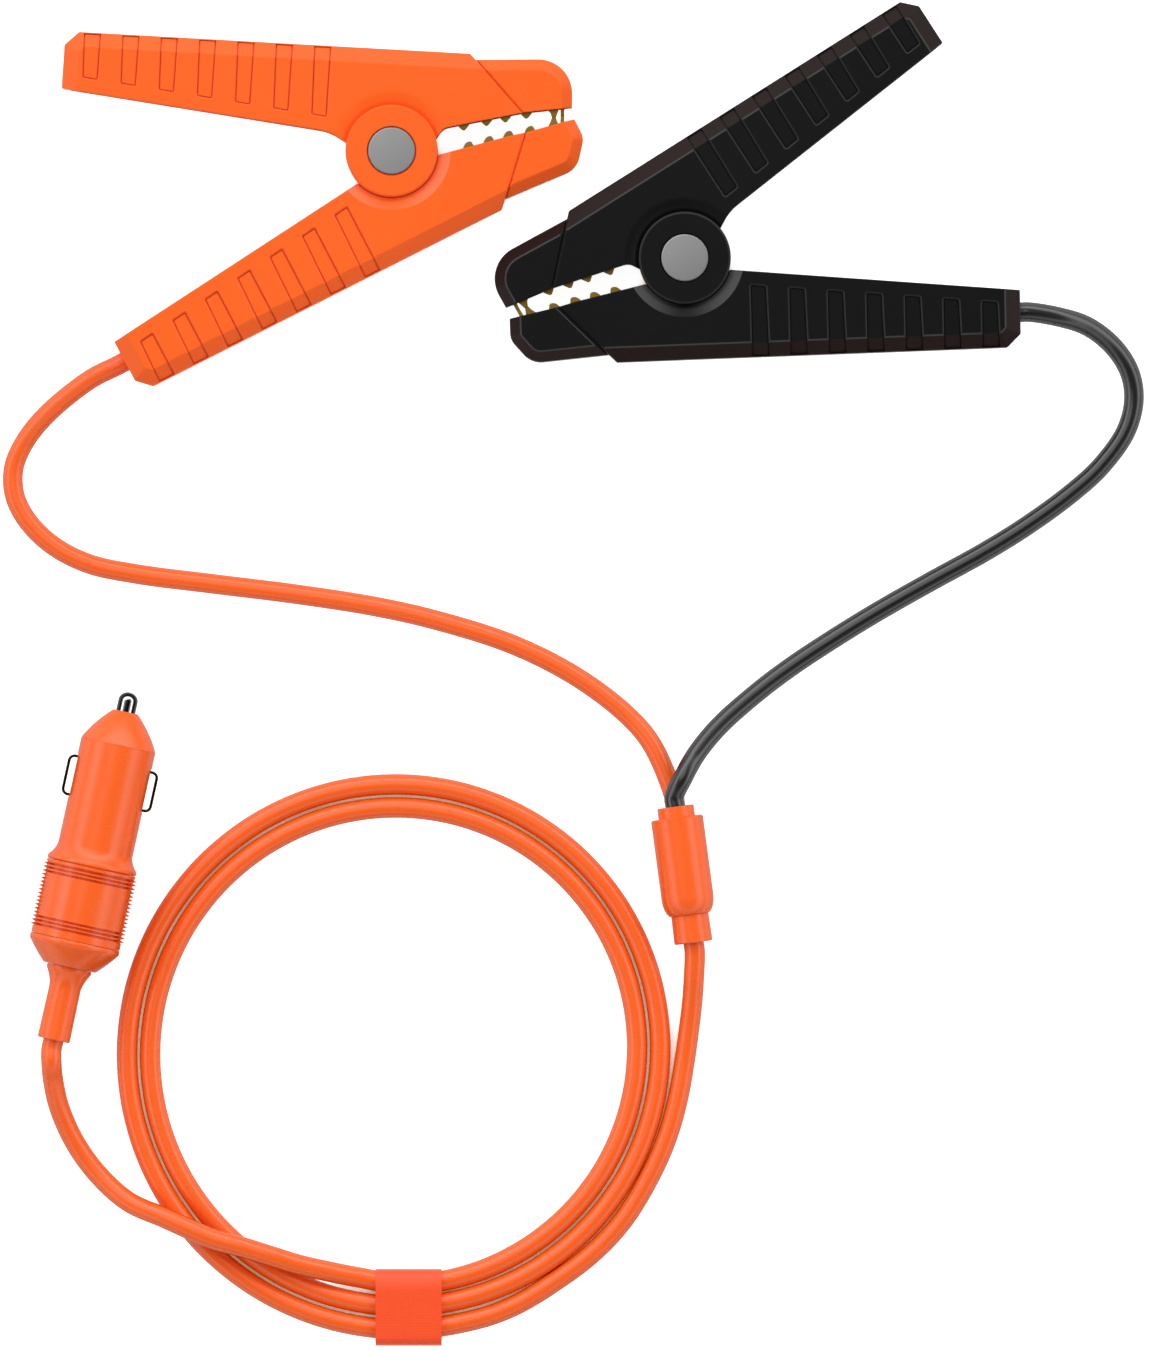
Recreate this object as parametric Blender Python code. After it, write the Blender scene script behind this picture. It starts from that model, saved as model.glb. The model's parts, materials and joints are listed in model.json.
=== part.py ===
# A 12 V battery charging cable set, laid out flat: an orange and a black sprung clamp, their two
# leads, a Y splitter, one cord wound into a flat coil under a strap, and a plug for a car's socket.
# Lengths are in metres. The set lies on z = 0, and +Y is the far side of the layout.

import math

import bmesh
import bpy
from mathutils import Matrix, Vector

MM = 0.001
GAP = 0.3 * MM  # between pieces that touch on the real set
SIDES = 24  # of a turned piece
SMALL_SIDES = 18
FINE_SIDES = 12
WELD = 0.0005 * MM  # corners nearer than this are one
SHARP_ANGLE = math.radians(30.0)
STRAIGHT_BEND = 0.02  # a corner that bends less than this counts as straight

# Where things lie
ORANGE_PIVOT = (-37.3 * MM, 145.9 * MM)
CLAMPS_APART = 8.83 * MM  # from the orange clamp's lower nose to the black clamp's upper handle
CLAMPS_SLIP = 14.30 * MM  # how far ahead of the black clamp's pivot that nose stands
BLACK_TURN = math.radians(29.06)
PLUG_END = (-132.0 * MM, -102.9 * MM)  # where the cord leaves the plug
PLUG_LEAN = math.radians(-12.4)
SPLITTER_END = (47.2 * MM, -75.7 * MM)  # where the main cord leaves the splitter
SPLITTER_LEAN = math.radians(7.6)
COIL_CENTRE = (-35.3 * MM, -105.7 * MM)

# Clamp: a handle with its jaw guard, in the plane of the clamp, with the pivot at (0, 0), in mm.
# Each corner has the kind of the edge that starts there.
UPPER_HANDLE = (
    (-92.3, 17.5, "grip"),
    (-17.5, 5.4, "fillet"),
    (-12.6, 2.3, "ear"),
    (13.0, 4.6, "jaw"),
    (18.1, 7.0, "jaw"),
    (26.7, 8.7, "jaw"),
    (36.5, 10.6, "seam"),
    (21.5, 27.2, "back"),
    (-87.4, 33.3, "end"),
    (-91.5, 29.7, "end"),
)
LOWER_HANDLE = (
    (-9.5, -9.1, "grip"),
    (-77.6, -53.4, "end"),
    (-71.8, -64.3, "end"),
    (-66.7, -65.8, "back"),
    (31.4, -16.1, "seam"),
    (37.4, 5.1, "jaw"),
    (33.1, 4.2, "jaw"),
    (13.2, -1.1, "ear"),
)
UPPER_NOSE = (
    (36.8, 10.7, "jaw"),
    (50.5, 12.1, "front"),
    (50.6, 25.7, "back"),
    (23.4, 25.5, "seam"),
)
LOWER_NOSE = (
    (32.6, -13.1, "back"),
    (51.8, -5.0, "front"),
    (53.8, 3.7, "front"),
    (51.1, 8.9, "jaw"),
    (37.8, 5.2, "seam"),
)
UPPER_NOSE_RADIUS = 9.5 * MM
LOWER_NOSE_RADIUS = 6.5 * MM
OPEN_EDGES = ("grip", "fillet", "ear", "jaw", "seam")

CLAMP_WIDTH = 28.0 * MM  # ear face to ear face
EAR_RAISE = 0.4 * MM
SHELL_WALL = 2.2 * MM
HANDLE_CHAMFER = 4.2 * MM
NOSE_CHAMFER = 3.0 * MM
NOSE_WALL = 1.8 * MM
CHAMFER_DEPTH = 3.0 * MM
INNER_CHAMFER_LESS = 1.0 * MM  # each way, which keeps the wall even round the chamfer
FILLET_RADIUS = 6.0 * MM  # where the upper handle's open edge meets its ear
EAR_RADIUS = 12.9 * MM
EAR_EDGE = 0.5 * MM
EAR_STEP = 0.1 * MM  # from a side wall's inner face to its ear's
POCKET_RADIUS = 16.2 * MM
INNER_EAR = 2.2 * MM
INNER_EAR_RADIUS = 12.4 * MM

RIB_COUNT = 7
RIB_PITCH = 10.75 * MM
RIB_WIDTH = 4.8 * MM
RIB_TAPER = 0.25 * MM  # how much each side of a recess leans in
RIB_DEPTH = 0.7 * MM
RIB_CLEAR = 0.05 * MM  # the recesses stop this far outside the handle's upright edges
RIB_MARGIN = 3.9 * MM  # from a rib's end to the open edge of its handle
UPPER_RIB_START = 1.4 * MM
LOWER_RIB_START = 2.1 * MM

PIN_RADIUS = 3.0 * MM
PIN_HEAD_RADIUS = 6.6 * MM
PIN_HEAD = 0.9 * MM
PIN_RECESS = 0.1 * MM  # the head lies this far below the ear's face
PIN_STUB_RADIUS = 1.5 * MM
PIN_STUB = 5.0 * MM
SLEEVE_WALL = 0.9 * MM
SPRING_WIRE = 1.7 * MM
SPRING_PLAY = 0.5 * MM  # between the sleeve and the spring's coils
SPRING_COIL_LENGTH = 12.0 * MM
SPRING_TURNS = 5
UPPER_LEG_REACH = 32.0 * MM  # how far behind the pivot the legs press on their handles
LOWER_LEG_REACH = 24.0 * MM

JAW_WIDTH = 15.0 * MM
JAW_SHEET = 1.0 * MM
TOOTH_RISE = 1.5 * MM  # past the guard's edge
TOOTH_ROOT = 0.4 * MM  # inside the guard's edge
TOOTH_BASE = 3.2 * MM
TOOTH_TIP = 1.0 * MM
BITE_GAP = 0.3 * MM  # between the tips of the last teeth
# Centres of the teeth along the jaw, the back and front of its sheet, and its web's two ends, in mm
UPPER_TEETH = (20.2, 26.6, 31.9, 37.7)
LOWER_TEETH = (21.5, 27.2, 32.7, 38.7)
BITE_TOOTH = 45.4
JAW_FRONT = 48.3
UPPER_JAW_BACK = 17.0
LOWER_JAW_BACK = 18.5
UPPER_WEB = ((17.0, 16.2), (45.3, 19.9), (48.3, 16.8))
LOWER_WEB = ((18.5, -8.6), (45.7, -3.4), (48.3, -0.8))
UPPER_PEGS = ((25.0, 13.0), (42.0, 16.2))
LOWER_PEGS = ((25.0, -3.2), (42.5, 1.6))
PEG_RADIUS = 1.5 * MM
PEG_SHOULDER_RADIUS = 2.8 * MM

LUG_WALL = 0.7 * MM
LUG_BARREL = 11.0 * MM
LUG_GRIP = 7.0 * MM  # length of cable inside the lug
LUG_TONGUE = 15.0 * MM
LUG_TONGUE_WIDTH = 7.0 * MM
LUG_SHEET = 1.0 * MM
LUG_RIVET_RADIUS = 1.5 * MM
LUG_RIVET_HEAD_RADIUS = 2.7 * MM
LUG_RIVET_HEAD = 0.8 * MM
LUG_RIVET_AT = 6.0 * MM  # along the web, from the jaw's back

# Cords
MAIN_DIAMETER = 5.6 * MM
LEAD_DIAMETER = 5.4 * MM
COIL_RADIUS = 77.4 * MM  # at the first pass under the strap
COIL_PITCH = 6.3 * MM
COIL_TURNS = 2
COIL_START = math.radians(-88.1)
COIL_LOOP_POINTS = 24
FLOOR_GAP = 0.05 * MM
POINTS_PER_DIAMETER = 0.4
SMOOTH_STEPS = 16  # between two points of a route
CURL_POINTS = 9

# Strap round the three strands
STRAP_WIDTH = 18.5 * MM
STRAP_SHEET = 0.8 * MM
STRAP_BEND_STEPS = 4
STRAP_SPREAD = math.radians(24.0)  # how far round the coil the strap lifts it
STRAP_EASE = 1.2 * MM  # room for the strands' curve inside the strap

# Plug, measured from the cord's end towards the tip
BARREL_RADIUS = 10.5 * MM
BARREL_WALL = 2.2 * MM
BARREL_END = 83.9 * MM
SHOULDER_RADIUS = 12.5 * MM
SHOULDER_START = 49.6 * MM
SHOULDER_BAND = 1.1 * MM
SHOULDER_LIP = 0.9 * MM  # above the barrel, halfway along the shoulder
SHOULDER_LENGTH = 4.65 * MM
GRIP_RADIUS = 12.85 * MM
GRIP_START = 28.3 * MM
GRIP_SEAT_RADIUS = 9.6 * MM
GROOVE_DEPTH = 0.55 * MM
GROOVE_PITCH = 1.35 * MM
GROOVES = 3
TAIL_START = 20.9 * MM
TAIL_RADIUS = 7.85 * MM
TAIL_BAND = 1.2 * MM
TAIL_SPIGOT = 5.0 * MM
BOOT_END_RADIUS = 4.4 * MM
BOOT_RADIUS = 4.3 * MM
BOOT_FLARE_RADIUS = 6.35 * MM
BOOT_FLARE = 4.8 * MM
BOOT_FLARE_STEPS = 5
BOOT_BAND = 1.2 * MM
BOOT_NECK_RADIUS = 4.6 * MM
BOOT_FLANGE_RADIUS = 6.4 * MM
BOOT_FLANGE = 2.0 * MM
TIP_RADIUS = 2.6 * MM
TIP_REACH = 5.6 * MM
TIP_DOME = 2.1 * MM
TIP_DOME_STEPS = 5
TIP_FLANGE = 2.0 * MM
NOSE_LENGTH = 10.1 * MM
NOSE_TIP_RADIUS = 3.45 * MM
NOSE_BULGE = 0.5 * MM
NOSE_LAND = 3.7 * MM  # length of the hole that the tip slides in
NOSE_THREAD = 4.4 * MM
THREAD_RADIUS = 6.0 * MM
CORE_START = 41.0 * MM
CORE_FLOOR = 2.0 * MM
FUSE_RADIUS = 3.4 * MM
FUSE_LENGTH = 32.0 * MM
FUSE_CAP = 6.0 * MM
FUSE_GLASS_RADIUS = 2.7 * MM
FUSE_GLASS_WALL = 0.5 * MM
FUSE_CAP_WALL = 0.4 * MM
FUSE_PLAY = 0.35 * MM
TIP_SPRING_WIRE = 0.8 * MM
TIP_SPRING_TURNS = 5
REAR_CONTACT = 1.2 * MM
REAR_STEM_RADIUS = 1.2 * MM
REAR_STEM = 4.5 * MM
SIDE_START = 67.7 * MM
SIDE_LENGTH = 11.8 * MM
SIDE_RISE = 2.4 * MM
SIDE_SHEET = 0.7 * MM
SIDE_WIDTH = 4.0 * MM
SIDE_FOOT = 2.4 * MM
SIDE_BEND_STEPS = 4
SIDE_TRAVEL = 2.0 * MM
RING_START = 58.0 * MM
RING_LENGTH = 3.0 * MM
RING_DEPTH = 0.9 * MM
WIRE_DIAMETER = 1.6 * MM

# Splitter, measured from the main cord's end towards the leads
SPLITTER_RADIUS = 7.35 * MM
SPLITTER_WALL = 1.4 * MM
NECK_RADIUS = 5.4 * MM
NECK_LENGTH = 7.8 * MM
SPLITTER_BODY = 35.4 * MM
SPLITTER_LENGTH = 38.5 * MM
SPLITTER_ROUND = 5.2 * MM
SPLITTER_ROUND_STEPS = 4
SPLITTER_EDGE = 0.8 * MM
COLLAR_WIDTH = 10.3 * MM
COLLAR_WALL = 1.2 * MM
LEAD_SPACING = 0.4 * MM  # between the two leads, one above the other
CORD_GRIP = 11.0 * MM  # how far the main cord reaches into the splitter
SPLICE_RADIUS = 2.1 * MM
SPLICE_LENGTH = 12.0 * MM
SPLICE_TAIL = 11.0 * MM  # length of lead inside the splitter

# Worked out from the sizes above
UPPER_BACK = (Vector(UPPER_HANDLE[7][:2]) * MM, Vector(UPPER_HANDLE[8][:2]) * MM)
BACK_SLOPE = (UPPER_BACK[1].y - UPPER_BACK[0].y) / (UPPER_BACK[1].x - UPPER_BACK[0].x)
BACK_HEIGHT = UPPER_BACK[0].y + BACK_SLOPE * (CLAMPS_SLIP - UPPER_BACK[0].x)
NOSE_CORNER = Vector(ORANGE_PIVOT) + Vector(LOWER_NOSE[1][:2]) * MM
BLACK_OFFSET = Matrix.Rotation(BLACK_TURN, 2) @ Vector((-CLAMPS_SLIP, BACK_HEIGHT + CLAMPS_APART))
BLACK_PIVOT = tuple(NOSE_CORNER - BLACK_OFFSET)
MAIN_RADIUS = MAIN_DIAMETER / 2
LEAD_RADIUS = LEAD_DIAMETER / 2
MAIN_FLOOR = MAIN_RADIUS + FLOOR_GAP
LEAD_FLOOR = LEAD_RADIUS + FLOOR_GAP
STRAP_LIFT = STRAP_SHEET + GAP - FLOOR_GAP
CLAMP_MIDDLE = CLAMP_WIDTH / 2
HANDLE_FACE = CLAMP_MIDDLE - EAR_RAISE
WALL_FACE = HANDLE_FACE - SHELL_WALL
INNER_EAR_FACE = WALL_FACE - GAP
SPACE_FACE = INNER_EAR_FACE - INNER_EAR  # the room between the inner ears
LEAD_OFFSET = (LEAD_DIAMETER + LEAD_SPACING) / 2
COLLAR_HEIGHT = LEAD_DIAMETER + LEAD_OFFSET * 2 + 2 * (GAP + COLLAR_WALL)
PLUG_HEIGHT = GRIP_RADIUS
SPLITTER_HEIGHT = max(SPLITTER_RADIUS, COLLAR_HEIGHT / 2)
FUSE_BORE = FUSE_RADIUS + FUSE_PLAY
CORE_RADIUS = BARREL_RADIUS - BARREL_WALL - GAP
CORE_END = BARREL_END - 2 * GAP
TIP_END = BARREL_END + NOSE_LENGTH
TIP_SEAT = TIP_END - NOSE_LAND
FUSE_END = TIP_SEAT - GAP - TIP_FLANGE - GAP
FUSE_START = FUSE_END - FUSE_LENGTH
REAR_FACE = CORE_START + CORE_FLOOR + GAP + REAR_CONTACT

# Routes of the free cords, in mm: x, y and the height of the cord's middle above its rest on the floor
ORANGE_LEAD_ROUTE = (
    (-121.5, 82.2, 9.6),
    (-132.8, 72.6, 5.2),
    (-139.6, 65.0, 1.8),
    (-143.0, 56.8, 0.3),
    (-142.9, 50.2, 0.0),
    (-139.2, 43.2, 0.0),
    (-131.9, 36.0, 0.0),
    (-122.1, 30.8, 0.0),
    (-109.4, 27.7, 0.0),
    (-87.0, 24.7, 0.0),
    (-64.5, 21.7, 0.0),
    (-42.0, 18.3, 0.0),
    (-24.7, 14.4, 0.0),
    (-3.3, 7.3, 0.0),
    (14.5, -2.0, 0.0),
    (28.8, -12.7, 0.2),
    (35.9, -21.2, 0.9),
)
BLACK_LEAD_ROUTE = (
    (149.2, 99.6, 9.9),
    (157.2, 96.7, 6.5),
    (164.4, 90.7, 2.9),
    (169.2, 83.5, 0.7),
    (170.8, 76.2, 0.0),
    (168.4, 67.4, 0.0),
    (161.2, 57.8, 0.0),
    (153.2, 50.5, 0.0),
    (141.2, 41.8, 0.0),
    (129.1, 34.6, 0.0),
    (113.1, 26.1, 0.0),
    (97.1, 16.9, 0.0),
    (82.6, 7.7, 0.0),
    (74.2, 2.2, 0.3),
    (65.8, -4.9, 1.5),
    (53.8, -14.2, 4.2),
    (46.9, -22.5, 6.4),
)
MAIN_CORD_ROUTE = (
    (47.4, -85.4, 3.6),
    (47.2, -91.6, 2.0),
    (46.4, -98.8, 0.7),
    (45.0, -109.0, 0.0),
    (43.2, -119.2, 0.0),
    (40.6, -129.4, 0.0),
    (37.0, -139.5, 0.0),
    (29.6, -154.0, 0.0),
    (20.6, -164.0, 0.0),
    (9.5, -171.5, 0.0),
    (-3.0, -177.4, 0.1),
    (-14.0, -180.9, 0.5),
)
PLUG_CORD_ROUTE = (
    (-47.0, -169.3, 1.6),
    (-55.0, -167.9, 3.4),
    (-63.5, -166.4, 5.0),
    (-71.5, -164.0, 6.2),
    (-79.5, -161.4, 6.5),
    (-87.0, -158.8, 6.5),
    (-93.5, -156.1, 6.4),
    (-100.8, -152.8, 5.6),
    (-110.4, -147.4, 3.2),
    (-119.0, -140.4, 1.2),
    (-125.8, -132.2, 1.4),
    (-130.6, -122.4, 4.0),
    (-132.6, -114.4, 7.2),
)

COLOURS = {
    "orange_plastic": ((1.0, 0.14, 0.022), 0.45, 0.0),
    "orange_gloss": ((1.0, 0.15, 0.03), 0.3, 0.0),
    "black_plastic": ((0.011, 0.011, 0.011), 0.45, 0.0),
    "orange_cord": ((1.0, 0.15, 0.03), 0.35, 0.0),
    "black_cord": ((0.012, 0.012, 0.013), 0.4, 0.0),
    "nickel": ((0.55, 0.55, 0.55), 0.3, 1.0),
    "spring_steel": ((0.42, 0.42, 0.43), 0.35, 1.0),
    "brass": ((0.42, 0.30, 0.07), 0.4, 1.0),
    "strap_fabric": ((1.0, 0.11, 0.03), 0.6, 0.0),
    "natural_plastic": ((0.75, 0.72, 0.65), 0.5, 0.0),
    "fuse_glass": ((0.85, 0.9, 0.9), 0.1, 0.0),
    "copper": ((0.6, 0.25, 0.12), 0.4, 1.0),
}


def clear_scene():
    for item in list(bpy.data.objects):
        bpy.data.objects.remove(item)


def own_material(name, colour_name):
    """A material of the object's own, in one of the set's colours."""
    colour, roughness, metallic = COLOURS[colour_name]
    made = bpy.data.materials.new(f"{name}_{colour_name}")
    made.use_nodes = True
    shader = made.node_tree.nodes["Principled BSDF"]
    shader.inputs["Base Color"].default_value = (*colour, 1.0)
    shader.inputs["Roughness"].default_value = roughness
    shader.inputs["Metallic"].default_value = metallic
    made.diffuse_color = (*colour, 1.0)
    return made


def place(name, mesh, colour_name, parent):
    mesh.materials.clear()
    mesh.materials.append(own_material(name, colour_name))
    item = bpy.data.objects.new(name, mesh)
    bpy.context.collection.objects.link(item)
    item.parent = parent


def frame_at(name, position, turn):
    """An empty that stands where a sub-assembly lies; turn is a 3 by 3 matrix."""
    empty = bpy.data.objects.new(name, None)
    bpy.context.collection.objects.link(empty)
    empty.location = position
    empty.rotation_euler = turn.to_euler()
    return empty


def lying_axis(lean):
    """Turns +Z to lie on the floor, at lean from +Y, with +X to the right and +Y down."""
    along = Vector((-math.sin(lean), math.cos(lean), 0))
    right = Vector((math.cos(lean), math.sin(lean), 0))
    return Matrix((right, along.cross(right), along)).transposed()


# Meshes


def finish(bm, name):
    bmesh.ops.recalc_face_normals(bm, faces=bm.faces)
    bmesh.ops.triangulate(bm, faces=bm.faces)
    mesh = bpy.data.meshes.new(name)
    bm.to_mesh(mesh)
    bm.free()
    mesh.shade_smooth()
    mesh.set_sharp_from_angle(angle=SHARP_ANGLE)
    return mesh


def loft(layers):
    """A closed solid through outlines of equal length; each layer is (outline, z)."""
    bm = bmesh.new()
    rings = [[bm.verts.new((x, y, z)) for x, y in outline] for outline, z in layers]
    for lower, upper in zip(rings, rings[1:]):
        for i in range(len(lower)):
            j = (i + 1) % len(lower)
            bm.faces.new((lower[i], lower[j], upper[j], upper[i]))
    bm.faces.new(reversed(rings[0]))
    bm.faces.new(rings[-1])
    return finish(bm, "loft")


def prism(outline, low, high):
    return loft([(outline, low), (outline, high)])


def box(low, high):
    outline = ((low[0], low[1]), (high[0], low[1]), (high[0], high[1]), (low[0], high[1]))
    return prism(outline, low[2], high[2])


def turned(profile, segments=SIDES, closed=False):
    """A solid turned round +Z. The profile is a list of (radius, z); a closed one is a tube's wall."""
    bm = bmesh.new()
    rings = []
    for radius, z in profile:
        if radius <= 0:
            rings.append([bm.verts.new((0, 0, z))])
            continue
        angles = (2 * math.pi * (k + 0.5) / segments for k in range(segments))
        rings.append([bm.verts.new((radius * math.cos(a), radius * math.sin(a), z)) for a in angles])
    pairs = list(zip(rings, rings[1:]))
    if closed:
        pairs.append((rings[-1], rings[0]))
    for first, second in pairs:
        for i in range(segments):
            j = (i + 1) % segments
            corners = [first[i % len(first)], first[j % len(first)]]
            corners += [second[j % len(second)], second[i % len(second)]]
            bm.faces.new(list(dict.fromkeys(corners)))
    return finish(bm, "turned")


def cylinder(radius, low, high, segments=SIDES):
    return turned(((0, low), (radius, low), (radius, high), (0, high)), segments)


def moved(mesh, matrix):
    copy = mesh.copy()
    copy.transform(matrix)
    if matrix.is_negative:
        copy.flip_normals()
    return copy


def flipped(mesh):
    """The same piece on the other side of the clamp's middle plane."""
    return moved(mesh, Matrix.Scale(-1, 4, (0, 0, 1)))


def combined(base, tool, operation):
    """One Boolean, worked out in millimetres, as a triangle mesh with its near corners joined."""
    result = bpy.data.objects.new("base", base.copy())
    other = bpy.data.objects.new("tool", tool.copy())
    for item in (result, other):
        bpy.context.collection.objects.link(item)
        item.data.transform(Matrix.Scale(1 / MM, 4))
    modifier = result.modifiers.new("cut", "BOOLEAN")
    modifier.operation = operation
    modifier.solver = "EXACT"
    modifier.object = other
    bpy.context.view_layer.update()
    evaluated = result.evaluated_get(bpy.context.evaluated_depsgraph_get())
    mesh = bpy.data.meshes.new_from_object(evaluated)
    bpy.data.objects.remove(result)
    bpy.data.objects.remove(other)
    bm = bmesh.new()
    bm.from_mesh(mesh)
    bmesh.ops.triangulate(bm, faces=bm.faces)
    bmesh.ops.remove_doubles(bm, verts=bm.verts, dist=WELD / MM)
    bmesh.ops.dissolve_degenerate(bm, edges=bm.edges, dist=WELD / MM)
    bm.to_mesh(mesh)
    bm.free()
    mesh.transform(Matrix.Scale(MM, 4))
    mesh.shade_smooth()
    mesh.set_sharp_from_angle(angle=SHARP_ANGLE)
    return mesh


def combine_all(base, tools, operation):
    for tool in tools:
        base = combined(base, tool, operation)
    return base


def joined(base, *tools):
    return combine_all(base, tools, "UNION")


def cut(base, *tools):
    return combine_all(base, tools, "DIFFERENCE")


def common(base, tool):
    return combined(base, tool, "INTERSECT")


# Outlines


def in_metres(corners):
    return [(corner[0] * MM, corner[1] * MM) for corner in corners]


def offset(points, widths):
    """Moves each edge of an anticlockwise outline inwards by its width, and keeps its corners."""
    result = []
    for i, here in enumerate(points):
        here = Vector(here)
        back = (here - Vector(points[i - 1])).normalized()
        ahead = (Vector(points[(i + 1) % len(points)]) - here).normalized()
        back_normal = Vector((-back.y, back.x))
        ahead_normal = Vector((-ahead.y, ahead.x))
        bend = back.cross(ahead)
        if abs(bend) < STRAIGHT_BEND:
            result.append(tuple(here + ahead_normal * widths[i]))
            continue
        along = (back_normal * widths[i - 1] - ahead_normal * widths[i]).dot(ahead_normal)
        result.append(tuple(here + back_normal * widths[i - 1] + back * (along / bend)))
    return result


def with_round_corners(corners, radii, steps=6):
    """Rounds the corners that have a radius; the arc's edges take the kind of the edge before it."""
    points = []
    count = len(corners)
    for i, (x, y, kind) in enumerate(corners):
        radius = radii.get(i)
        here = Vector((x, y)) * MM
        if not radius:
            points.append((here.x, here.y, kind))
            continue
        back = (Vector(corners[i - 1][:2]) * MM - here).normalized()
        ahead = (Vector(corners[(i + 1) % count][:2]) * MM - here).normalized()
        half = math.acos(back.dot(ahead)) / 2
        reach = radius / math.tan(half)
        centre = here + (back + ahead).normalized() * (radius / math.sin(half))
        start = here + back * reach - centre
        sweep = math.copysign(math.pi - 2 * half, ahead.cross(back))
        for step in range(steps + 1):
            spoke = start.copy()
            spoke.rotate(Matrix.Rotation(sweep * step / steps, 2))
            at = centre + spoke
            edge = kind if step == steps else corners[i - 1][2]
            points.append((at.x, at.y, edge))
    return points


def shell(outline, chamfers, wall, face):
    """A moulding hollowed from its open edges, with chamfers along its closed ones."""
    points = [corner[:2] for corner in outline]
    kinds = [corner[2] for corner in outline]
    widths = [chamfers.get(kind, 0) for kind in kinds]
    flat = offset(points, widths)
    body = loft([
        (flat, -face),
        (points, -face + CHAMFER_DEPTH),
        (points, face - CHAMFER_DEPTH),
        (flat, face),
    ])
    walls = [-2 * wall if kind in OPEN_EDGES else wall for kind in kinds]
    room = offset(points, walls)
    inner_flat = offset(room, [max(0, width - INNER_CHAMFER_LESS) for width in widths])
    inner = face - wall
    depth = CHAMFER_DEPTH - INNER_CHAMFER_LESS
    hollow = loft([
        (inner_flat, -inner),
        (room, -inner + depth),
        (room, inner - depth),
        (inner_flat, inner),
    ])
    return cut(body, hollow)


# Clamp


def ray_hit(point, direction, start, end):
    """How far along the ray the line through start and end lies."""
    edge = end - start
    return (start - point).cross(edge) / direction.cross(edge)


def grip_recesses(outline, chamfers, back, grip, first):
    """Shallow recesses in both side faces, from the handle's back edge towards its open edge."""
    points = [corner[:2] for corner in outline]
    widths = [chamfers.get(corner[2], 0) for corner in outline]
    start, end = (Vector(points[i]) for i in back)
    grip_start, grip_end = (Vector(points[i]) for i in grip)
    along = (end - start).normalized()
    inwards = Vector((-along.y, along.x))
    if (grip_start - start).dot(inwards) < 0:
        inwards.negate()
    bm = bmesh.new()
    for i in range(RIB_COUNT):
        base = start + along * (first + i * RIB_PITCH)
        near, far = base, base + along * RIB_WIDTH
        near_reach = ray_hit(near, inwards, grip_start, grip_end) - RIB_MARGIN
        far_reach = ray_hit(far, inwards, grip_start, grip_end) - RIB_MARGIN
        ring = (
            near - inwards * SHELL_WALL,
            far - inwards * SHELL_WALL,
            far + inwards * far_reach - along * RIB_TAPER,
            near + inwards * near_reach + along * RIB_TAPER,
        )
        low = [bm.verts.new((p.x, p.y, -CLAMP_WIDTH)) for p in ring]
        high = [bm.verts.new((p.x, p.y, CLAMP_WIDTH)) for p in ring]
        for k in range(4):
            j = (k + 1) % 4
            bm.faces.new((low[k], low[j], high[j], high[k]))
        bm.faces.new(reversed(low))
        bm.faces.new(high)
    slots = finish(bm, "slots")
    outer = offset(points, [-RIB_CLEAR] * len(points))
    flat = offset(outer, [width + RIB_CLEAR if width else 0 for width in widths])
    floor = HANDLE_FACE - RIB_DEPTH
    core = loft([
        (flat, -floor),
        (outer, -floor + CHAMFER_DEPTH),
        (outer, floor - CHAMFER_DEPTH),
        (flat, floor),
    ])
    return cut(slots, core)


def peg(at):
    """A shouldered peg inside a side wall, which holds the jaw's sheet."""
    jaw_face = JAW_WIDTH / 2 + GAP
    tip = JAW_WIDTH / 2 - JAW_SHEET - GAP
    root = WALL_FACE + SHELL_WALL / 2
    profile = (
        (0, tip),
        (PEG_RADIUS, tip),
        (PEG_RADIUS, jaw_face),
        (PEG_SHOULDER_RADIUS, jaw_face),
        (PEG_SHOULDER_RADIUS, root),
        (0, root),
    )
    return moved(turned(profile, FINE_SIDES), Matrix.Translation((at[0] * MM, at[1] * MM, 0)))


def pegs(at):
    one = peg(at)
    return one, flipped(one)


def upper_handle():
    chamfers = {"back": HANDLE_CHAMFER, "end": HANDLE_CHAMFER}
    outline = with_round_corners(UPPER_HANDLE, {1: FILLET_RADIUS}, 4)
    body = shell(outline, chamfers, SHELL_WALL, HANDLE_FACE)
    back = (len(outline) - 2, len(outline) - 3)
    grip = (0, 1)
    recesses = grip_recesses(outline, chamfers, back, grip, UPPER_RIB_START)
    ear = turned((
        (0, WALL_FACE + EAR_STEP),
        (EAR_RADIUS, WALL_FACE + EAR_STEP),
        (EAR_RADIUS, CLAMP_MIDDLE - EAR_EDGE),
        (EAR_RADIUS - EAR_EDGE, CLAMP_MIDDLE),
        (0, CLAMP_MIDDLE),
    ))
    hole = cylinder(PIN_RADIUS + GAP, -CLAMP_WIDTH, CLAMP_WIDTH, SMALL_SIDES)
    seat_floor = CLAMP_MIDDLE - PIN_RECESS - PIN_HEAD - GAP
    seat = cylinder(PIN_HEAD_RADIUS + GAP, seat_floor, CLAMP_WIDTH, SMALL_SIDES)
    body = cut(body, recesses)
    body = joined(body, ear, flipped(ear), *pegs(UPPER_PEGS[0]))
    return cut(body, hole, seat, flipped(seat))


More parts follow.
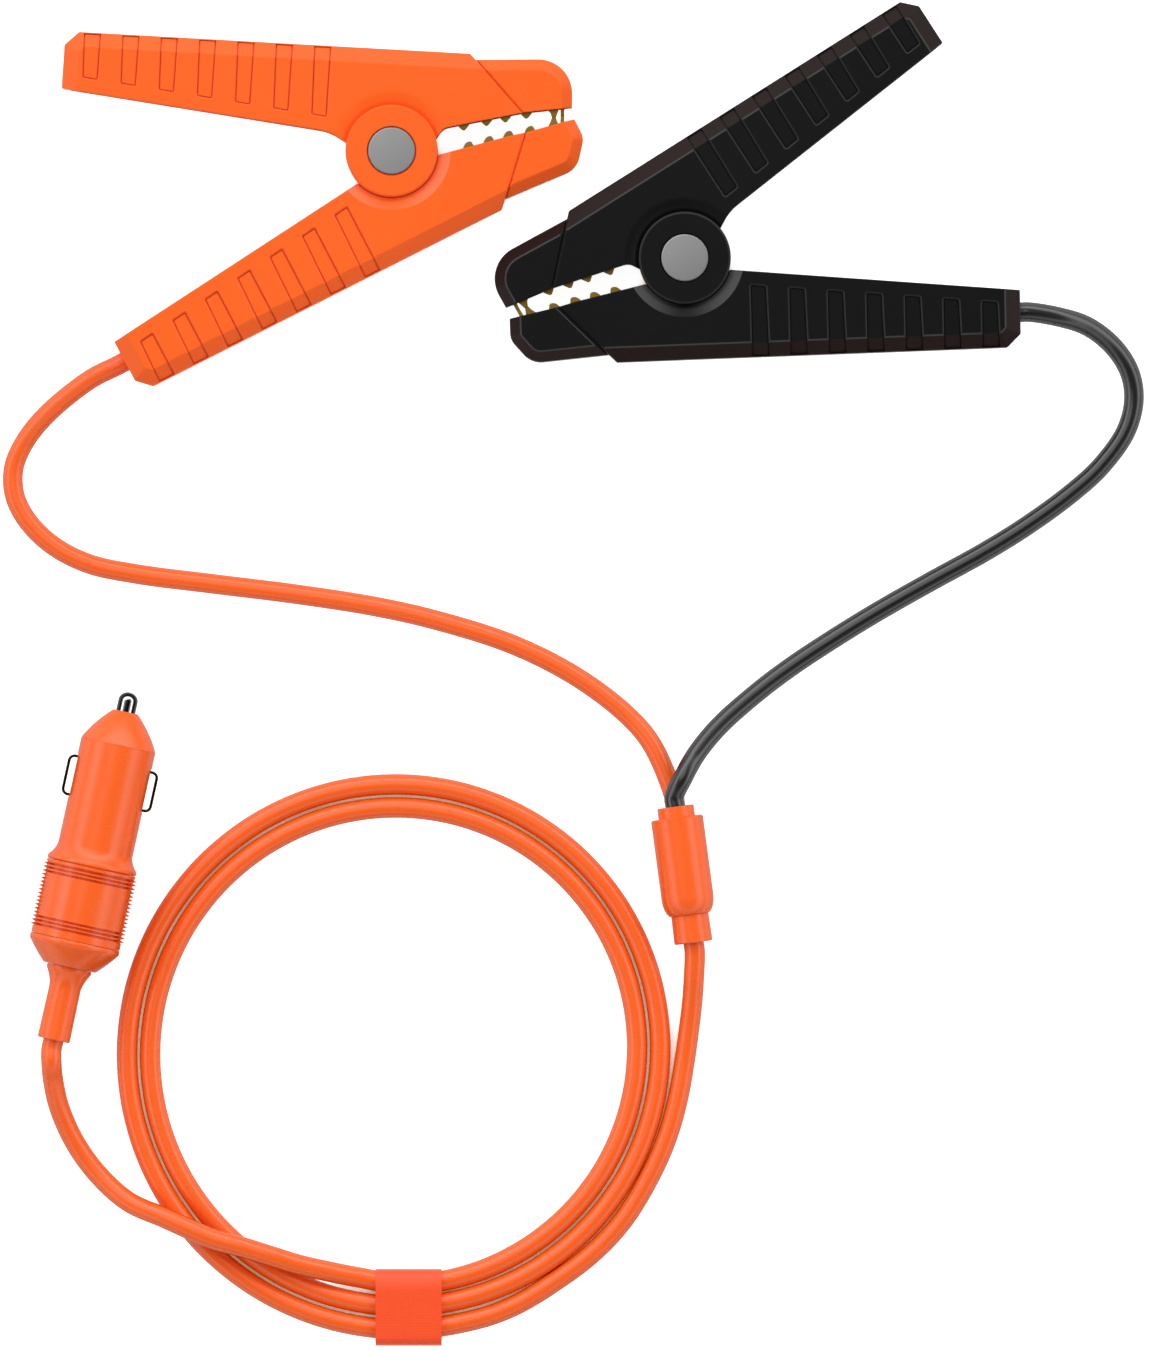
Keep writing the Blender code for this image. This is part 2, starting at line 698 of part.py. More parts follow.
def lower_handle():
    chamfers = {"back": HANDLE_CHAMFER, "end": HANDLE_CHAMFER}
    outline = [(x * MM, y * MM, kind) for x, y, kind in LOWER_HANDLE]
    body = shell(outline, chamfers, SHELL_WALL, HANDLE_FACE)
    recesses = grip_recesses(outline, chamfers, (3, 4), (1, 0), LOWER_RIB_START)
    root = WALL_FACE + SHELL_WALL / 3
    plate_radius = POCKET_RADIUS + SHELL_WALL
    trimmed = offset([corner[:2] for corner in outline], [EAR_STEP] * len(outline))
    plate = common(cylinder(plate_radius, SPACE_FACE + EAR_STEP, root), prism(trimmed, 0, CLAMP_WIDTH))
    ear = cylinder(INNER_EAR_RADIUS, SPACE_FACE, INNER_EAR_FACE + EAR_STEP)
    clear = EAR_RADIUS + GAP
    slope = (POCKET_RADIUS - clear) / (HANDLE_FACE - INNER_EAR_FACE)
    pocket = turned((
        (0, INNER_EAR_FACE),
        (clear, INNER_EAR_FACE),
        (clear + slope * (CLAMP_MIDDLE - INNER_EAR_FACE), CLAMP_MIDDLE),
        (0, CLAMP_MIDDLE),
    ))
    hole = cylinder(PIN_RADIUS + GAP, -CLAMP_WIDTH, CLAMP_WIDTH, SMALL_SIDES)
    exit_at, outwards = cable_exit()
    cable_hole = cylinder(LEAD_RADIUS + GAP, -3 * SHELL_WALL, 3 * SHELL_WALL, FINE_SIDES)
    turn = outwards.to_track_quat("Z", "Y").to_matrix().to_4x4()
    cable_hole.transform(Matrix.Translation(exit_at) @ turn)
    body = cut(body, recesses)
    body = joined(body, plate, flipped(plate), ear, flipped(ear), *pegs(LOWER_PEGS[0]))
    return cut(body, pocket, flipped(pocket), hole, cable_hole)


def cable_exit():
    """Where the lead leaves the lower handle: the middle of its end wall, and the way out."""
    first = Vector(LOWER_HANDLE[1][:2]) * MM
    second = Vector(LOWER_HANDLE[2][:2]) * MM
    middle = (first + second) / 2
    along = (second - first).normalized()
    return Vector((middle.x, middle.y, 0)), Vector((along.y, -along.x, 0))


def nose(corners, radii, peg_at):
    chamfers = {"back": NOSE_CHAMFER, "front": NOSE_CHAMFER}
    outline = with_round_corners(corners, radii, 5)
    body = shell(outline, chamfers, NOSE_WALL, HANDLE_FACE)
    return joined(body, *pegs(peg_at))


def edge_height(corners, x):
    """The height of a guard's jaw edge at x, from the handle's and the nose's corners."""
    for (x0, y0), (x1, y1) in zip(corners, corners[1:]):
        if x0 <= x <= x1:
            return y0 + (y1 - y0) * (x - x0) / (x1 - x0)
    return corners[-1][1]


UPPER_EDGE = (UPPER_HANDLE[4][:2], UPPER_HANDLE[5][:2], UPPER_HANDLE[6][:2], UPPER_NOSE[1][:2])
LOWER_EDGE = (LOWER_HANDLE[7][:2], LOWER_HANDLE[6][:2], LOWER_HANDLE[5][:2], LOWER_NOSE[3][:2])


def bite_height(x, side):
    """The tips of the last teeth stand at the middle of the bite, half a gap apart."""
    middle = (edge_height(UPPER_EDGE, x) + edge_height(LOWER_EDGE, x)) / 2
    return middle * MM + side * BITE_GAP / 2


def jaw(edge, teeth, back, web, side, pegs_at):
    """A toothed channel of sheet brass; side is +1 for the upper jaw and -1 for the lower."""
    outline = [(back * MM, edge_height(edge, back) * MM + side * TOOTH_ROOT)]
    tips = [(x, edge_height(edge, x) * MM - side * TOOTH_RISE) for x in teeth]
    tips.append((BITE_TOOTH, bite_height(BITE_TOOTH, side)))
    for x, tip in tips:
        before, after = x * MM - TOOTH_BASE / 2, x * MM + TOOTH_BASE / 2
        outline += [
            (before, edge_height(edge, before / MM) * MM + side * TOOTH_ROOT),
            (x * MM - TOOTH_TIP / 2, tip),
            (x * MM + TOOTH_TIP / 2, tip),
            (after, edge_height(edge, after / MM) * MM + side * TOOTH_ROOT),
        ]
    front_root = JAW_FRONT * MM - JAW_SHEET
    outline.append((front_root, edge_height(edge, front_root / MM) * MM + side * TOOTH_ROOT))
    outline.append((front_root, bite_height(JAW_FRONT, side)))
    outline.append((JAW_FRONT * MM, bite_height(JAW_FRONT, side)))
    outline += in_metres(reversed(web))
    if side < 0:
        outline.reverse()
    half = JAW_WIDTH / 2
    body = prism(outline, -half, half)
    web_line = in_metres(web)
    web_rise = Vector(web_line[1]) - Vector(web_line[0])
    towards_teeth = Vector((web_rise.y, -web_rise.x)).normalized() * side
    inner_back = Vector(web_line[0]) + towards_teeth * JAW_SHEET - web_rise.normalized() * JAW_WIDTH
    inner_front = Vector(web_line[1]) + towards_teeth * JAW_SHEET
    room = [
        tuple(inner_back),
        tuple(inner_front),
        (front_root, web_line[2][1]),
        (front_root, web_line[2][1] - side * JAW_WIDTH),
        (inner_back.x, inner_back.y - side * JAW_WIDTH),
    ]
    body = cut(body, prism(room, -half + JAW_SHEET, half - JAW_SHEET))
    hole = cylinder(PEG_RADIUS + GAP, -JAW_WIDTH, JAW_WIDTH, FINE_SIDES)
    holes = [moved(hole, Matrix.Translation((x * MM, y * MM, 0))) for x, y in pegs_at]
    return cut(body, *holes)


def lug_frame():
    """The lug lies along the lower jaw's web, on its outer face: +X forwards, +Y towards the teeth."""
    start, end = (Vector(point) * MM for point in LOWER_WEB[:2])
    along = (end - start).normalized()
    across = Vector((-along.y, along.x))
    at = start + along * LUG_RIVET_AT
    columns = (along.to_3d(), across.to_3d(), Vector((0, 0, 1)))
    turn = Matrix(columns).transposed().to_4x4()
    return Matrix.Translation(at.to_3d()) @ turn


def rivet_hole(low, high):
    upright = Matrix.Rotation(-math.pi / 2, 4, "X")
    hole = cylinder(LUG_RIVET_RADIUS + GAP, low, high, FINE_SIDES)
    return moved(hole, lug_frame() @ upright)


def lower_jaw():
    body = jaw(LOWER_EDGE, LOWER_TEETH, LOWER_JAW_BACK, LOWER_WEB, -1, LOWER_PEGS)
    return cut(body, rivet_hole(-JAW_SHEET, 2 * JAW_SHEET))


def lug():
    """A crimp barrel on the cable's end, with a flat tongue under the jaw's web."""
    bore = LEAD_RADIUS + GAP
    outer = bore + LUG_WALL
    top = -GAP
    middle = top - outer
    barrel_front = -LUG_TONGUE / 2
    barrel_back = barrel_front - LUG_BARREL
    barrel = turned((
        (bore, barrel_back),
        (outer, barrel_back),
        (outer, barrel_front),
        (bore, barrel_front),
    ), FINE_SIDES, closed=True)
    floor_start = barrel_back + LUG_GRIP + GAP
    floor = cylinder(outer - LUG_WALL / 2, floor_start - GAP, floor_start + LUG_SHEET, FINE_SIDES)
    along_x = Matrix.Translation((0, middle, 0)) @ Matrix.Rotation(math.pi / 2, 4, "Y")
    half = LUG_TONGUE_WIDTH / 2
    tongue_back = barrel_front - LUG_BARREL / 3
    tongue = box((tongue_back, top - LUG_SHEET, -half), (LUG_TONGUE / 2, top, half))
    body = joined(moved(barrel, along_x), moved(floor, along_x), tongue)
    body.transform(lug_frame())
    clear = cylinder(bore + GAP / 2, barrel_back - LUG_BARREL, floor_start, FINE_SIDES)
    keep_out = moved(clear, lug_frame() @ along_x)
    return cut(body, rivet_hole(-3 * LUG_SHEET, LUG_SHEET), keep_out)


def cable_stop():
    """Where the cable ends inside the lug, and the way back along the lug's barrel."""
    bore = LEAD_RADIUS + GAP
    middle = -GAP - bore - LUG_WALL
    end = -LUG_TONGUE / 2 - LUG_BARREL + LUG_GRIP
    frame = lug_frame()
    return frame @ Vector((end, middle, 0)), -(frame.to_3x3() @ Vector((1, 0, 0)))


def lug_rivet():
    top = JAW_SHEET + GAP
    bottom = -GAP - LUG_SHEET - GAP
    profile = (
        (0, bottom - LUG_RIVET_HEAD),
        (LUG_RIVET_HEAD_RADIUS, bottom - LUG_RIVET_HEAD),
        (LUG_RIVET_HEAD_RADIUS, bottom),
        (LUG_RIVET_RADIUS, bottom),
        (LUG_RIVET_RADIUS, top),
        (LUG_RIVET_HEAD_RADIUS, top),
        (LUG_RIVET_HEAD_RADIUS, top + LUG_RIVET_HEAD),
        (0, top + LUG_RIVET_HEAD),
    )
    upright = Matrix.Rotation(-math.pi / 2, 4, "X")
    return moved(turned(profile, FINE_SIDES), lug_frame() @ upright)


def pivot_pin():
    face = CLAMP_MIDDLE - PIN_RECESS
    foot = -face + PIN_HEAD + GAP
    return turned((
        (0, foot + PIN_STUB + GAP),
        (PIN_STUB_RADIUS + GAP, foot + PIN_STUB + GAP),
        (PIN_STUB_RADIUS + GAP, foot),
        (PIN_RADIUS, foot),
        (PIN_RADIUS, face - PIN_HEAD),
        (PIN_HEAD_RADIUS, face - PIN_HEAD),
        (PIN_HEAD_RADIUS, face - PIN_HEAD / 3),
        (PIN_HEAD_RADIUS - PIN_HEAD / 3, face),
        (0, face),
    ), SMALL_SIDES)


def pivot_cap():
    face = CLAMP_MIDDLE - PIN_RECESS
    return turned((
        (0, -face),
        (PIN_HEAD_RADIUS - PIN_HEAD / 3, -face),
        (PIN_HEAD_RADIUS, -face + PIN_HEAD / 3),
        (PIN_HEAD_RADIUS, -face + PIN_HEAD),
        (PIN_STUB_RADIUS, -face + PIN_HEAD),
        (PIN_STUB_RADIUS, -face + PIN_HEAD + PIN_STUB),
        (0, -face + PIN_HEAD + PIN_STUB),
    ), SMALL_SIDES)


def spring_sleeve():
    inner = PIN_RADIUS + GAP
    half = SPACE_FACE - GAP
    return turned((
        (inner, -half),
        (inner + SLEEVE_WALL, -half),
        (inner + SLEEVE_WALL, half),
        (inner, half),
    ), SMALL_SIDES, closed=True)


def back_wall_at(start, end, x, clearance, inwards):
    """The height at x of a handle's back wall, taken inwards by its thickness and a clearance."""
    slope = (end[1] - start[1]) / (end[0] - start[0])
    height = (start[1] + slope * (x / MM - start[0])) * MM
    return height + inwards * (SHELL_WALL + clearance) * math.hypot(1, slope)


def spring_points():
    """A torsion spring: a leg to the lower handle, the coil up the sleeve, a leg to the upper handle."""
    radius = PIN_RADIUS + GAP + SLEEVE_WALL + SPRING_PLAY + SPRING_WIRE / 2
    clearance = SPRING_WIRE / 2 + GAP
    upper_x, lower_x = -UPPER_LEG_REACH, -LOWER_LEG_REACH
    upper_y = back_wall_at(UPPER_HANDLE[7], UPPER_HANDLE[8], upper_x, clearance, -1)
    lower_y = back_wall_at(LOWER_HANDLE[3], LOWER_HANDLE[4], lower_x, clearance, 1)
    upper_angle = math.atan2(upper_y, upper_x) - math.acos(radius / math.hypot(upper_x, upper_y))
    lower_angle = math.atan2(lower_y, lower_x) + math.acos(radius / math.hypot(lower_x, lower_y))
    sweep = (upper_angle - lower_angle) % (2 * math.pi) + SPRING_TURNS * 2 * math.pi
    steps = math.ceil(sweep / (2 * math.pi) * CURL_POINTS)
    low = -SPRING_COIL_LENGTH / 2
    points = [Vector((lower_x, lower_y, low))]
    for step in range(steps + 1):
        angle = lower_angle + sweep * step / steps
        z = low + SPRING_COIL_LENGTH * step / steps
        points.append(Vector((radius * math.cos(angle), radius * math.sin(angle), z)))
    points.append(Vector((upper_x, upper_y, -low)))
    return points


def least_gap(points, diameter, skip):
    """The least distance between two stretches of one tube, less its diameter."""
    least = math.inf
    for i, first in enumerate(points):
        for second in points[i + skip:]:
            least = min(least, (first - second).length)
    return least - diameter


# Curves


def tube(name, points, diameter, resolution, colour_name, parent=None):
    curve = bpy.data.curves.new(name, "CURVE")
    curve.dimensions = "3D"
    curve.bevel_depth = diameter / 2
    curve.bevel_resolution = resolution
    curve.use_fill_caps = True
    curve.resolution_u = 1
    curve.render_resolution_u = 0
    spline = curve.splines.new("POLY")
    spline.points.add(len(points) - 1)
    for target, point in zip(spline.points, points):
        target.co = (*point, 1)
    item = bpy.data.objects.new(name, curve)
    curve.materials.append(own_material(name, colour_name))
    bpy.context.collection.objects.link(item)
    item.parent = parent
    return item


def smooth(route, step):
    """Points a step apart on a smooth curve through the route's points, with its ends kept straight."""
    padded = [2 * route[0] - route[1], *route, 2 * route[-1] - route[-2]]
    fine = []
    for before, start, end, after in zip(padded, padded[1:], padded[2:], padded[3:]):
        first, span, last = (
            math.sqrt((b - a).length) for a, b in ((before, start), (start, end), (end, after))
        )
        leave = (start - before) / first - (end - before) / (first + span) + (end - start) / span
        arrive = (end - start) / span - (after - start) / (span + last) + (after - end) / last
        leave *= span
        arrive *= span
        for k in range(SMOOTH_STEPS):
            t = k / SMOOTH_STEPS
            fine.append(
                start * (2 * t**3 - 3 * t**2 + 1)
                + leave * (t**3 - 2 * t**2 + t)
                + end * (3 * t**2 - 2 * t**3)
                + arrive * (t**3 - t**2)
            )
    fine = [*fine[SMOOTH_STEPS:-SMOOTH_STEPS], route[-2]]
    lengths = [0.0]
    for first, second in zip(fine, fine[1:]):
        lengths.append(lengths[-1] + (second - first).length)
    count = max(2, round(lengths[-1] / step))
    result = []
    k = 0
    for i in range(count + 1):
        wanted = lengths[-1] * i / count
        while k < len(fine) - 2 and lengths[k + 1] < wanted:
            k += 1
        share = (wanted - lengths[k]) / (lengths[k + 1] - lengths[k])
        result.append(fine[k].lerp(fine[k + 1], min(share, 1)))
    result = [route[0], *result, route[-1]]
    print(f"route {(lengths[-1] + spans_of_ends(route)) / MM:.1f} mm in {len(result)} points")
    return result


def spans_of_ends(route):
    return (route[1] - route[0]).length + (route[-1] - route[-2]).length


def raised(route, floor):
    return [Vector((x * MM, y * MM, floor + z * MM)) for x, y, z in route]


# Assemblies


def build_clamp(colour, frame, meshes):
    """One clamp from the meshes. A piece with no colour of its own has the clamp's colour."""
    for piece, (mesh, colour_name) in meshes.items():
        place(f"{colour}_{piece}", mesh.copy(), colour_name or f"{colour}_plastic", frame)
    spring = spring_points()
    tube(f"{colour}_torsion_spring", spring, SPRING_WIRE, 1, "spring_steel", frame)
    exit_at, outwards = cable_exit()
    stop, lug_back = cable_stop()
    route = [
        exit_at,
        exit_at - outwards * LEAD_DIAMETER,
        exit_at - outwards * 4 * LEAD_DIAMETER,
        stop + lug_back * 4 * LEAD_DIAMETER,
        stop + lug_back * (LUG_GRIP + LEAD_DIAMETER / 2),
        stop,
    ]
    step = LEAD_DIAMETER / POINTS_PER_DIAMETER
    tube(f"{colour}_clamp_cable", smooth(route, step), LEAD_DIAMETER, 2, f"{colour}_cord", frame)


def build_clamps():
    noses = {2: UPPER_NOSE_RADIUS}
    low_noses = {1: LOWER_NOSE_RADIUS}
    upper_jaw = jaw(UPPER_EDGE, UPPER_TEETH, UPPER_JAW_BACK, UPPER_WEB, 1, UPPER_PEGS)
    meshes = {
        "upper_handle": (upper_handle(), None),
        "lower_handle": (lower_handle(), None),
        "upper_nose": (nose(UPPER_NOSE, noses, UPPER_PEGS[1]), None),
        "lower_nose": (nose(LOWER_NOSE, low_noses, LOWER_PEGS[1]), None),
        "upper_jaw": (upper_jaw, "brass"),
        "lower_jaw": (lower_jaw(), "brass"),
        "pivot_pin": (pivot_pin(), "nickel"),
        "pivot_cap": (pivot_cap(), "nickel"),
        "spring_sleeve": (spring_sleeve(), "natural_plastic"),
        "cable_lug": (lug(), "brass"),
        "lug_rivet": (lug_rivet(), "nickel"),
    }
    orange = frame_at("orange_clamp", (*ORANGE_PIVOT, CLAMP_MIDDLE), Matrix.Identity(3))
    turned_over = Matrix.Rotation(BLACK_TURN, 3, "Z") @ Matrix.Rotation(math.pi, 3, "Y")
    black = frame_at("black_clamp", (*BLACK_PIVOT, CLAMP_MIDDLE), turned_over)
    build_clamp("orange", orange, meshes)
    build_clamp("black", black, meshes)
    gap = least_gap(spring_points(), SPRING_WIRE, CURL_POINTS // 2)
    print(f"torsion spring's least gap to itself: {gap / MM:.2f} mm")
    return orange, black


# Plug


def tube_wall(inner, outer, low, high, segments=SIDES):
    return turned(((inner, low), (outer, low), (outer, high), (inner, high)), segments, closed=True)


def plug_barrel():
    inner = BARREL_RADIUS - BARREL_WALL
    end = BARREL_END - GAP
    barrel = turned((
        (inner, GRIP_START + GAP),
        (GRIP_SEAT_RADIUS, GRIP_START + GAP),
        (GRIP_SEAT_RADIUS, SHOULDER_START),
        (SHOULDER_RADIUS, SHOULDER_START),
        (SHOULDER_RADIUS, SHOULDER_START + SHOULDER_BAND),
        (BARREL_RADIUS + SHOULDER_LIP, SHOULDER_START + SHOULDER_LENGTH / 2),
        (BARREL_RADIUS, SHOULDER_START + SHOULDER_LENGTH),
        (BARREL_RADIUS, end),
        (inner, end),
    ), closed=True)
    near, far = inner - BARREL_WALL / 2, SHOULDER_RADIUS
    half = SIDE_WIDTH / 2 + GAP
    low, high = SIDE_START - GAP, SIDE_START + SIDE_LENGTH + GAP
    left_slot = box((-far, -half, low), (-near, half, high))
    right_slot = box((near, -half, low), (far, half, high))
    return cut(barrel, left_slot, right_slot)


def nose_cap():
    thread = THREAD_RADIUS + GAP
    bulge = (BARREL_RADIUS + NOSE_TIP_RADIUS) / 2 + NOSE_BULGE
    return turned((
        (thread, BARREL_END),
        (BARREL_RADIUS, BARREL_END),
        (bulge, BARREL_END + NOSE_LENGTH / 2),
        (NOSE_TIP_RADIUS, TIP_END),
        (TIP_RADIUS + GAP, TIP_END),
        (TIP_RADIUS + GAP, TIP_SEAT),
        (FUSE_BORE, TIP_SEAT),
        (FUSE_BORE, BARREL_END + NOSE_THREAD),
        (thread, BARREL_END + NOSE_THREAD),
    ), closed=True)


def plug_core():
    """An insulating core in the barrel: a bore for the fuse, and a pocket for each side contact."""
    bore = FUSE_BORE
    thread_end = BARREL_END + NOSE_THREAD - GAP
    body = turned((
        (bore, CORE_START + CORE_FLOOR),
        (bore, thread_end),
        (THREAD_RADIUS, thread_end),
        (THREAD_RADIUS, CORE_END),
        (CORE_RADIUS, CORE_END),
        (CORE_RADIUS, CORE_START),
        (REAR_STEM_RADIUS + GAP, CORE_START),
        (REAR_STEM_RADIUS + GAP, CORE_START + CORE_FLOOR),
    ), closed=True)
    foot_in = side_foot_radius() - SIDE_SHEET / 2 - SIDE_TRAVEL - GAP
    half = SIDE_WIDTH / 2 + GAP
    low = SIDE_START - SIDE_FOOT - GAP
    high = SIDE_START + SIDE_LENGTH + SIDE_FOOT + GAP
    pockets = [
        box((foot_in, -half, low), (CORE_RADIUS * 2, half, high)),
        box((-CORE_RADIUS * 2, -half, low), (-foot_in, half, high)),
    ]
    groove = tube_wall(CORE_RADIUS - RING_DEPTH, CORE_RADIUS * 2, RING_START, RING_START + RING_LENGTH)
    wire_way = box(
        (-WIRE_DIAMETER / 2 - GAP, CORE_RADIUS - WIRE_DIAMETER - 4 * GAP, CORE_START - GAP),
        (WIRE_DIAMETER / 2 + GAP, CORE_RADIUS * 2, RING_START + GAP),
    )
    return cut(body, *pockets, groove, wire_way)


def side_foot_radius():
    """The middle of a side contact's foot, which lies under the barrel's wall."""
    inner = BARREL_RADIUS - BARREL_WALL
    edge = math.sqrt(inner**2 - (SIDE_WIDTH / 2) ** 2)
    return edge - GAP - SIDE_SHEET / 2


def side_contact(side):
    """A bridge of spring sheet that stands out of its slot, with a foot at each end."""
    foot = side_foot_radius()
    crown = BARREL_RADIUS + SIDE_RISE - SIDE_SHEET / 2
    low = SIDE_START + SIDE_SHEET / 2
    high = SIDE_START + SIDE_LENGTH - SIDE_SHEET / 2
    bend = SIDE_RISE / 2
    angles = [math.pi / 2 * step / SIDE_BEND_STEPS for step in range(SIDE_BEND_STEPS + 1)]
    arc = [(crown - bend + bend * math.sin(angle), bend - bend * math.cos(angle)) for angle in angles]
    centre_line = [(foot, low - SIDE_FOOT), (foot, low)]
    centre_line += [(x, low + rise) for x, rise in arc]
    centre_line += [(x, high - rise) for x, rise in reversed(arc)]
    centre_line += [(foot, high), (foot, high + SIDE_FOOT)]
    return strip(centre_line, SIDE_SHEET, SIDE_WIDTH, side)


def strip(centre_line, thickness, width, side):
    """A bent strip: its centre line is in the X-Z plane, and its width runs along Y."""
    points = [Vector(point) for point in centre_line]
    left, right = [], []
    for i, here in enumerate(points):
        back = (here - points[i - 1]).normalized() if i else (points[1] - here).normalized()
        ahead = (points[i + 1] - here).normalized() if i < len(points) - 1 else back
        mean = (back + ahead).normalized()
        normal = Vector((-mean.y, mean.x))
        reach = thickness / 2 / normal.dot(Vector((-back.y, back.x)))
        left.append(here + normal * reach)
        right.append(here - normal * reach)
    outline = left + right[::-1]
    bm = bmesh.new()
    near = [bm.verts.new((side * p.x, -width / 2, p.y)) for p in outline]
    far = [bm.verts.new((side * p.x, width / 2, p.y)) for p in outline]
    count = len(outline)
    for i in range(count):
        j = (i + 1) % count
        bm.faces.new((near[i], near[j], far[j], far[i]))
    for i in range(len(left) - 1):
        j = count - 1 - i
        bm.faces.new((near[i], near[i + 1], near[j - 1], near[j]))
        bm.faces.new((far[j], far[j - 1], far[i + 1], far[i]))
    return finish(bm, "strip")


def grip_sleeve():
    inner = GRIP_SEAT_RADIUS + GAP
    low = GRIP_START + GAP
    high = SHOULDER_START - GAP
    profile = [(inner, low), (GRIP_RADIUS, low)]
    starts = [low + GROOVE_PITCH * (k + 0.5) for k in range(GROOVES)]
    starts += [high - GROOVE_PITCH * (k + 1) for k in reversed(range(GROOVES))]
    for start in starts:
        profile += [
            (GRIP_RADIUS, start),
            (GRIP_RADIUS - GROOVE_DEPTH, start + GROOVE_PITCH / 4),
            (GRIP_RADIUS, start + GROOVE_PITCH / 2),
        ]
    profile += [(GRIP_RADIUS, high), (inner, high)]
    return turned(profile, closed=True)


def plug_tail():
    spigot = BARREL_RADIUS - BARREL_WALL - GAP
    bore = BOOT_NECK_RADIUS + GAP
    return turned((
        (bore, TAIL_START),
        (TAIL_RADIUS, TAIL_START),
        (GRIP_RADIUS, GRIP_START - TAIL_BAND),
        (GRIP_RADIUS, GRIP_START),
        (spigot, GRIP_START),
        (spigot, GRIP_START + TAIL_SPIGOT),
        (bore, GRIP_START + TAIL_SPIGOT),
    ), closed=True)


def plug_boot():
    """The strain relief: it necks down behind the tail, and a flange holds it inside."""
    bore = MAIN_RADIUS + GAP
    seat = TAIL_START - GAP
    flange = GRIP_START + TAIL_SPIGOT + GAP
    flare = seat - BOOT_FLARE - BOOT_BAND
    profile = [(bore, 0), (BOOT_END_RADIUS, 0), (BOOT_RADIUS, flare)]
    for step in range(1, BOOT_FLARE_STEPS + 1):
        share = step / BOOT_FLARE_STEPS
        radius = BOOT_RADIUS + (BOOT_FLARE_RADIUS - BOOT_RADIUS) * (1 - math.cos(share * math.pi / 2))
        profile.append((radius, flare + BOOT_FLARE * share))
    profile += [
        (BOOT_FLARE_RADIUS, seat),
        (BOOT_NECK_RADIUS, seat),
        (BOOT_NECK_RADIUS, flange),
        (BOOT_FLANGE_RADIUS, flange),
        (BOOT_FLANGE_RADIUS, flange + BOOT_FLANGE),
        (bore, flange + BOOT_FLANGE),
    ]
    return turned(profile, SMALL_SIDES, closed=True)


def tip_contact():
    end = TIP_END + TIP_REACH
    profile = [(0, TIP_SEAT - GAP - TIP_FLANGE), (FUSE_RADIUS, TIP_SEAT - GAP - TIP_FLANGE)]
    profile += [(FUSE_RADIUS, TIP_SEAT - GAP), (TIP_RADIUS, TIP_SEAT - GAP)]
    for step in range(TIP_DOME_STEPS):
        angle = math.pi / 2 * step / TIP_DOME_STEPS
        profile.append((TIP_RADIUS * math.cos(angle), end - TIP_DOME * (1 - math.sin(angle))))
    profile.append((0, end))
    return turned(profile, FINE_SIDES)


def fuse_cap(front):
    """A cap over one end of the fuse's glass."""
    closed_end = FUSE_END if front else FUSE_START
    way = -1 if front else 1
    inner = FUSE_GLASS_RADIUS + GAP
    return turned((
        (0, closed_end),
        (FUSE_RADIUS, closed_end),
        (FUSE_RADIUS, closed_end + way * FUSE_CAP),
        (inner, closed_end + way * FUSE_CAP),
        (inner, closed_end + way * FUSE_CAP_WALL),
        (0, closed_end + way * FUSE_CAP_WALL),
    ), FINE_SIDES)


def tip_spring_points():
    radius = FUSE_RADIUS - TIP_SPRING_WIRE / 2
    low = REAR_FACE + GAP + TIP_SPRING_WIRE / 2
    high = FUSE_START - GAP - TIP_SPRING_WIRE / 2
    steps = TIP_SPRING_TURNS * CURL_POINTS
    points = []
    for step in range(steps + 1):
        angle = 2 * math.pi * step / CURL_POINTS
        z = low + (high - low) * step / steps
        points.append(Vector((radius * math.cos(angle), radius * math.sin(angle), z)))
    return points


def rear_contact():
    floor = CORE_START + CORE_FLOOR + GAP
    return turned((
        (0, CORE_START - REAR_STEM + CORE_FLOOR),
        (REAR_STEM_RADIUS, CORE_START - REAR_STEM + CORE_FLOOR),
        (REAR_STEM_RADIUS, floor),
        (FUSE_RADIUS, floor),
        (FUSE_RADIUS, floor + REAR_CONTACT),
        (0, floor + REAR_CONTACT),
    ), FINE_SIDES)


def ground_ring():
    inner = CORE_RADIUS - RING_DEPTH + GAP
    outer = CORE_RADIUS - GAP / 2
    return tube_wall(inner, outer, RING_START + GAP, RING_START + RING_LENGTH - GAP, SMALL_SIDES)


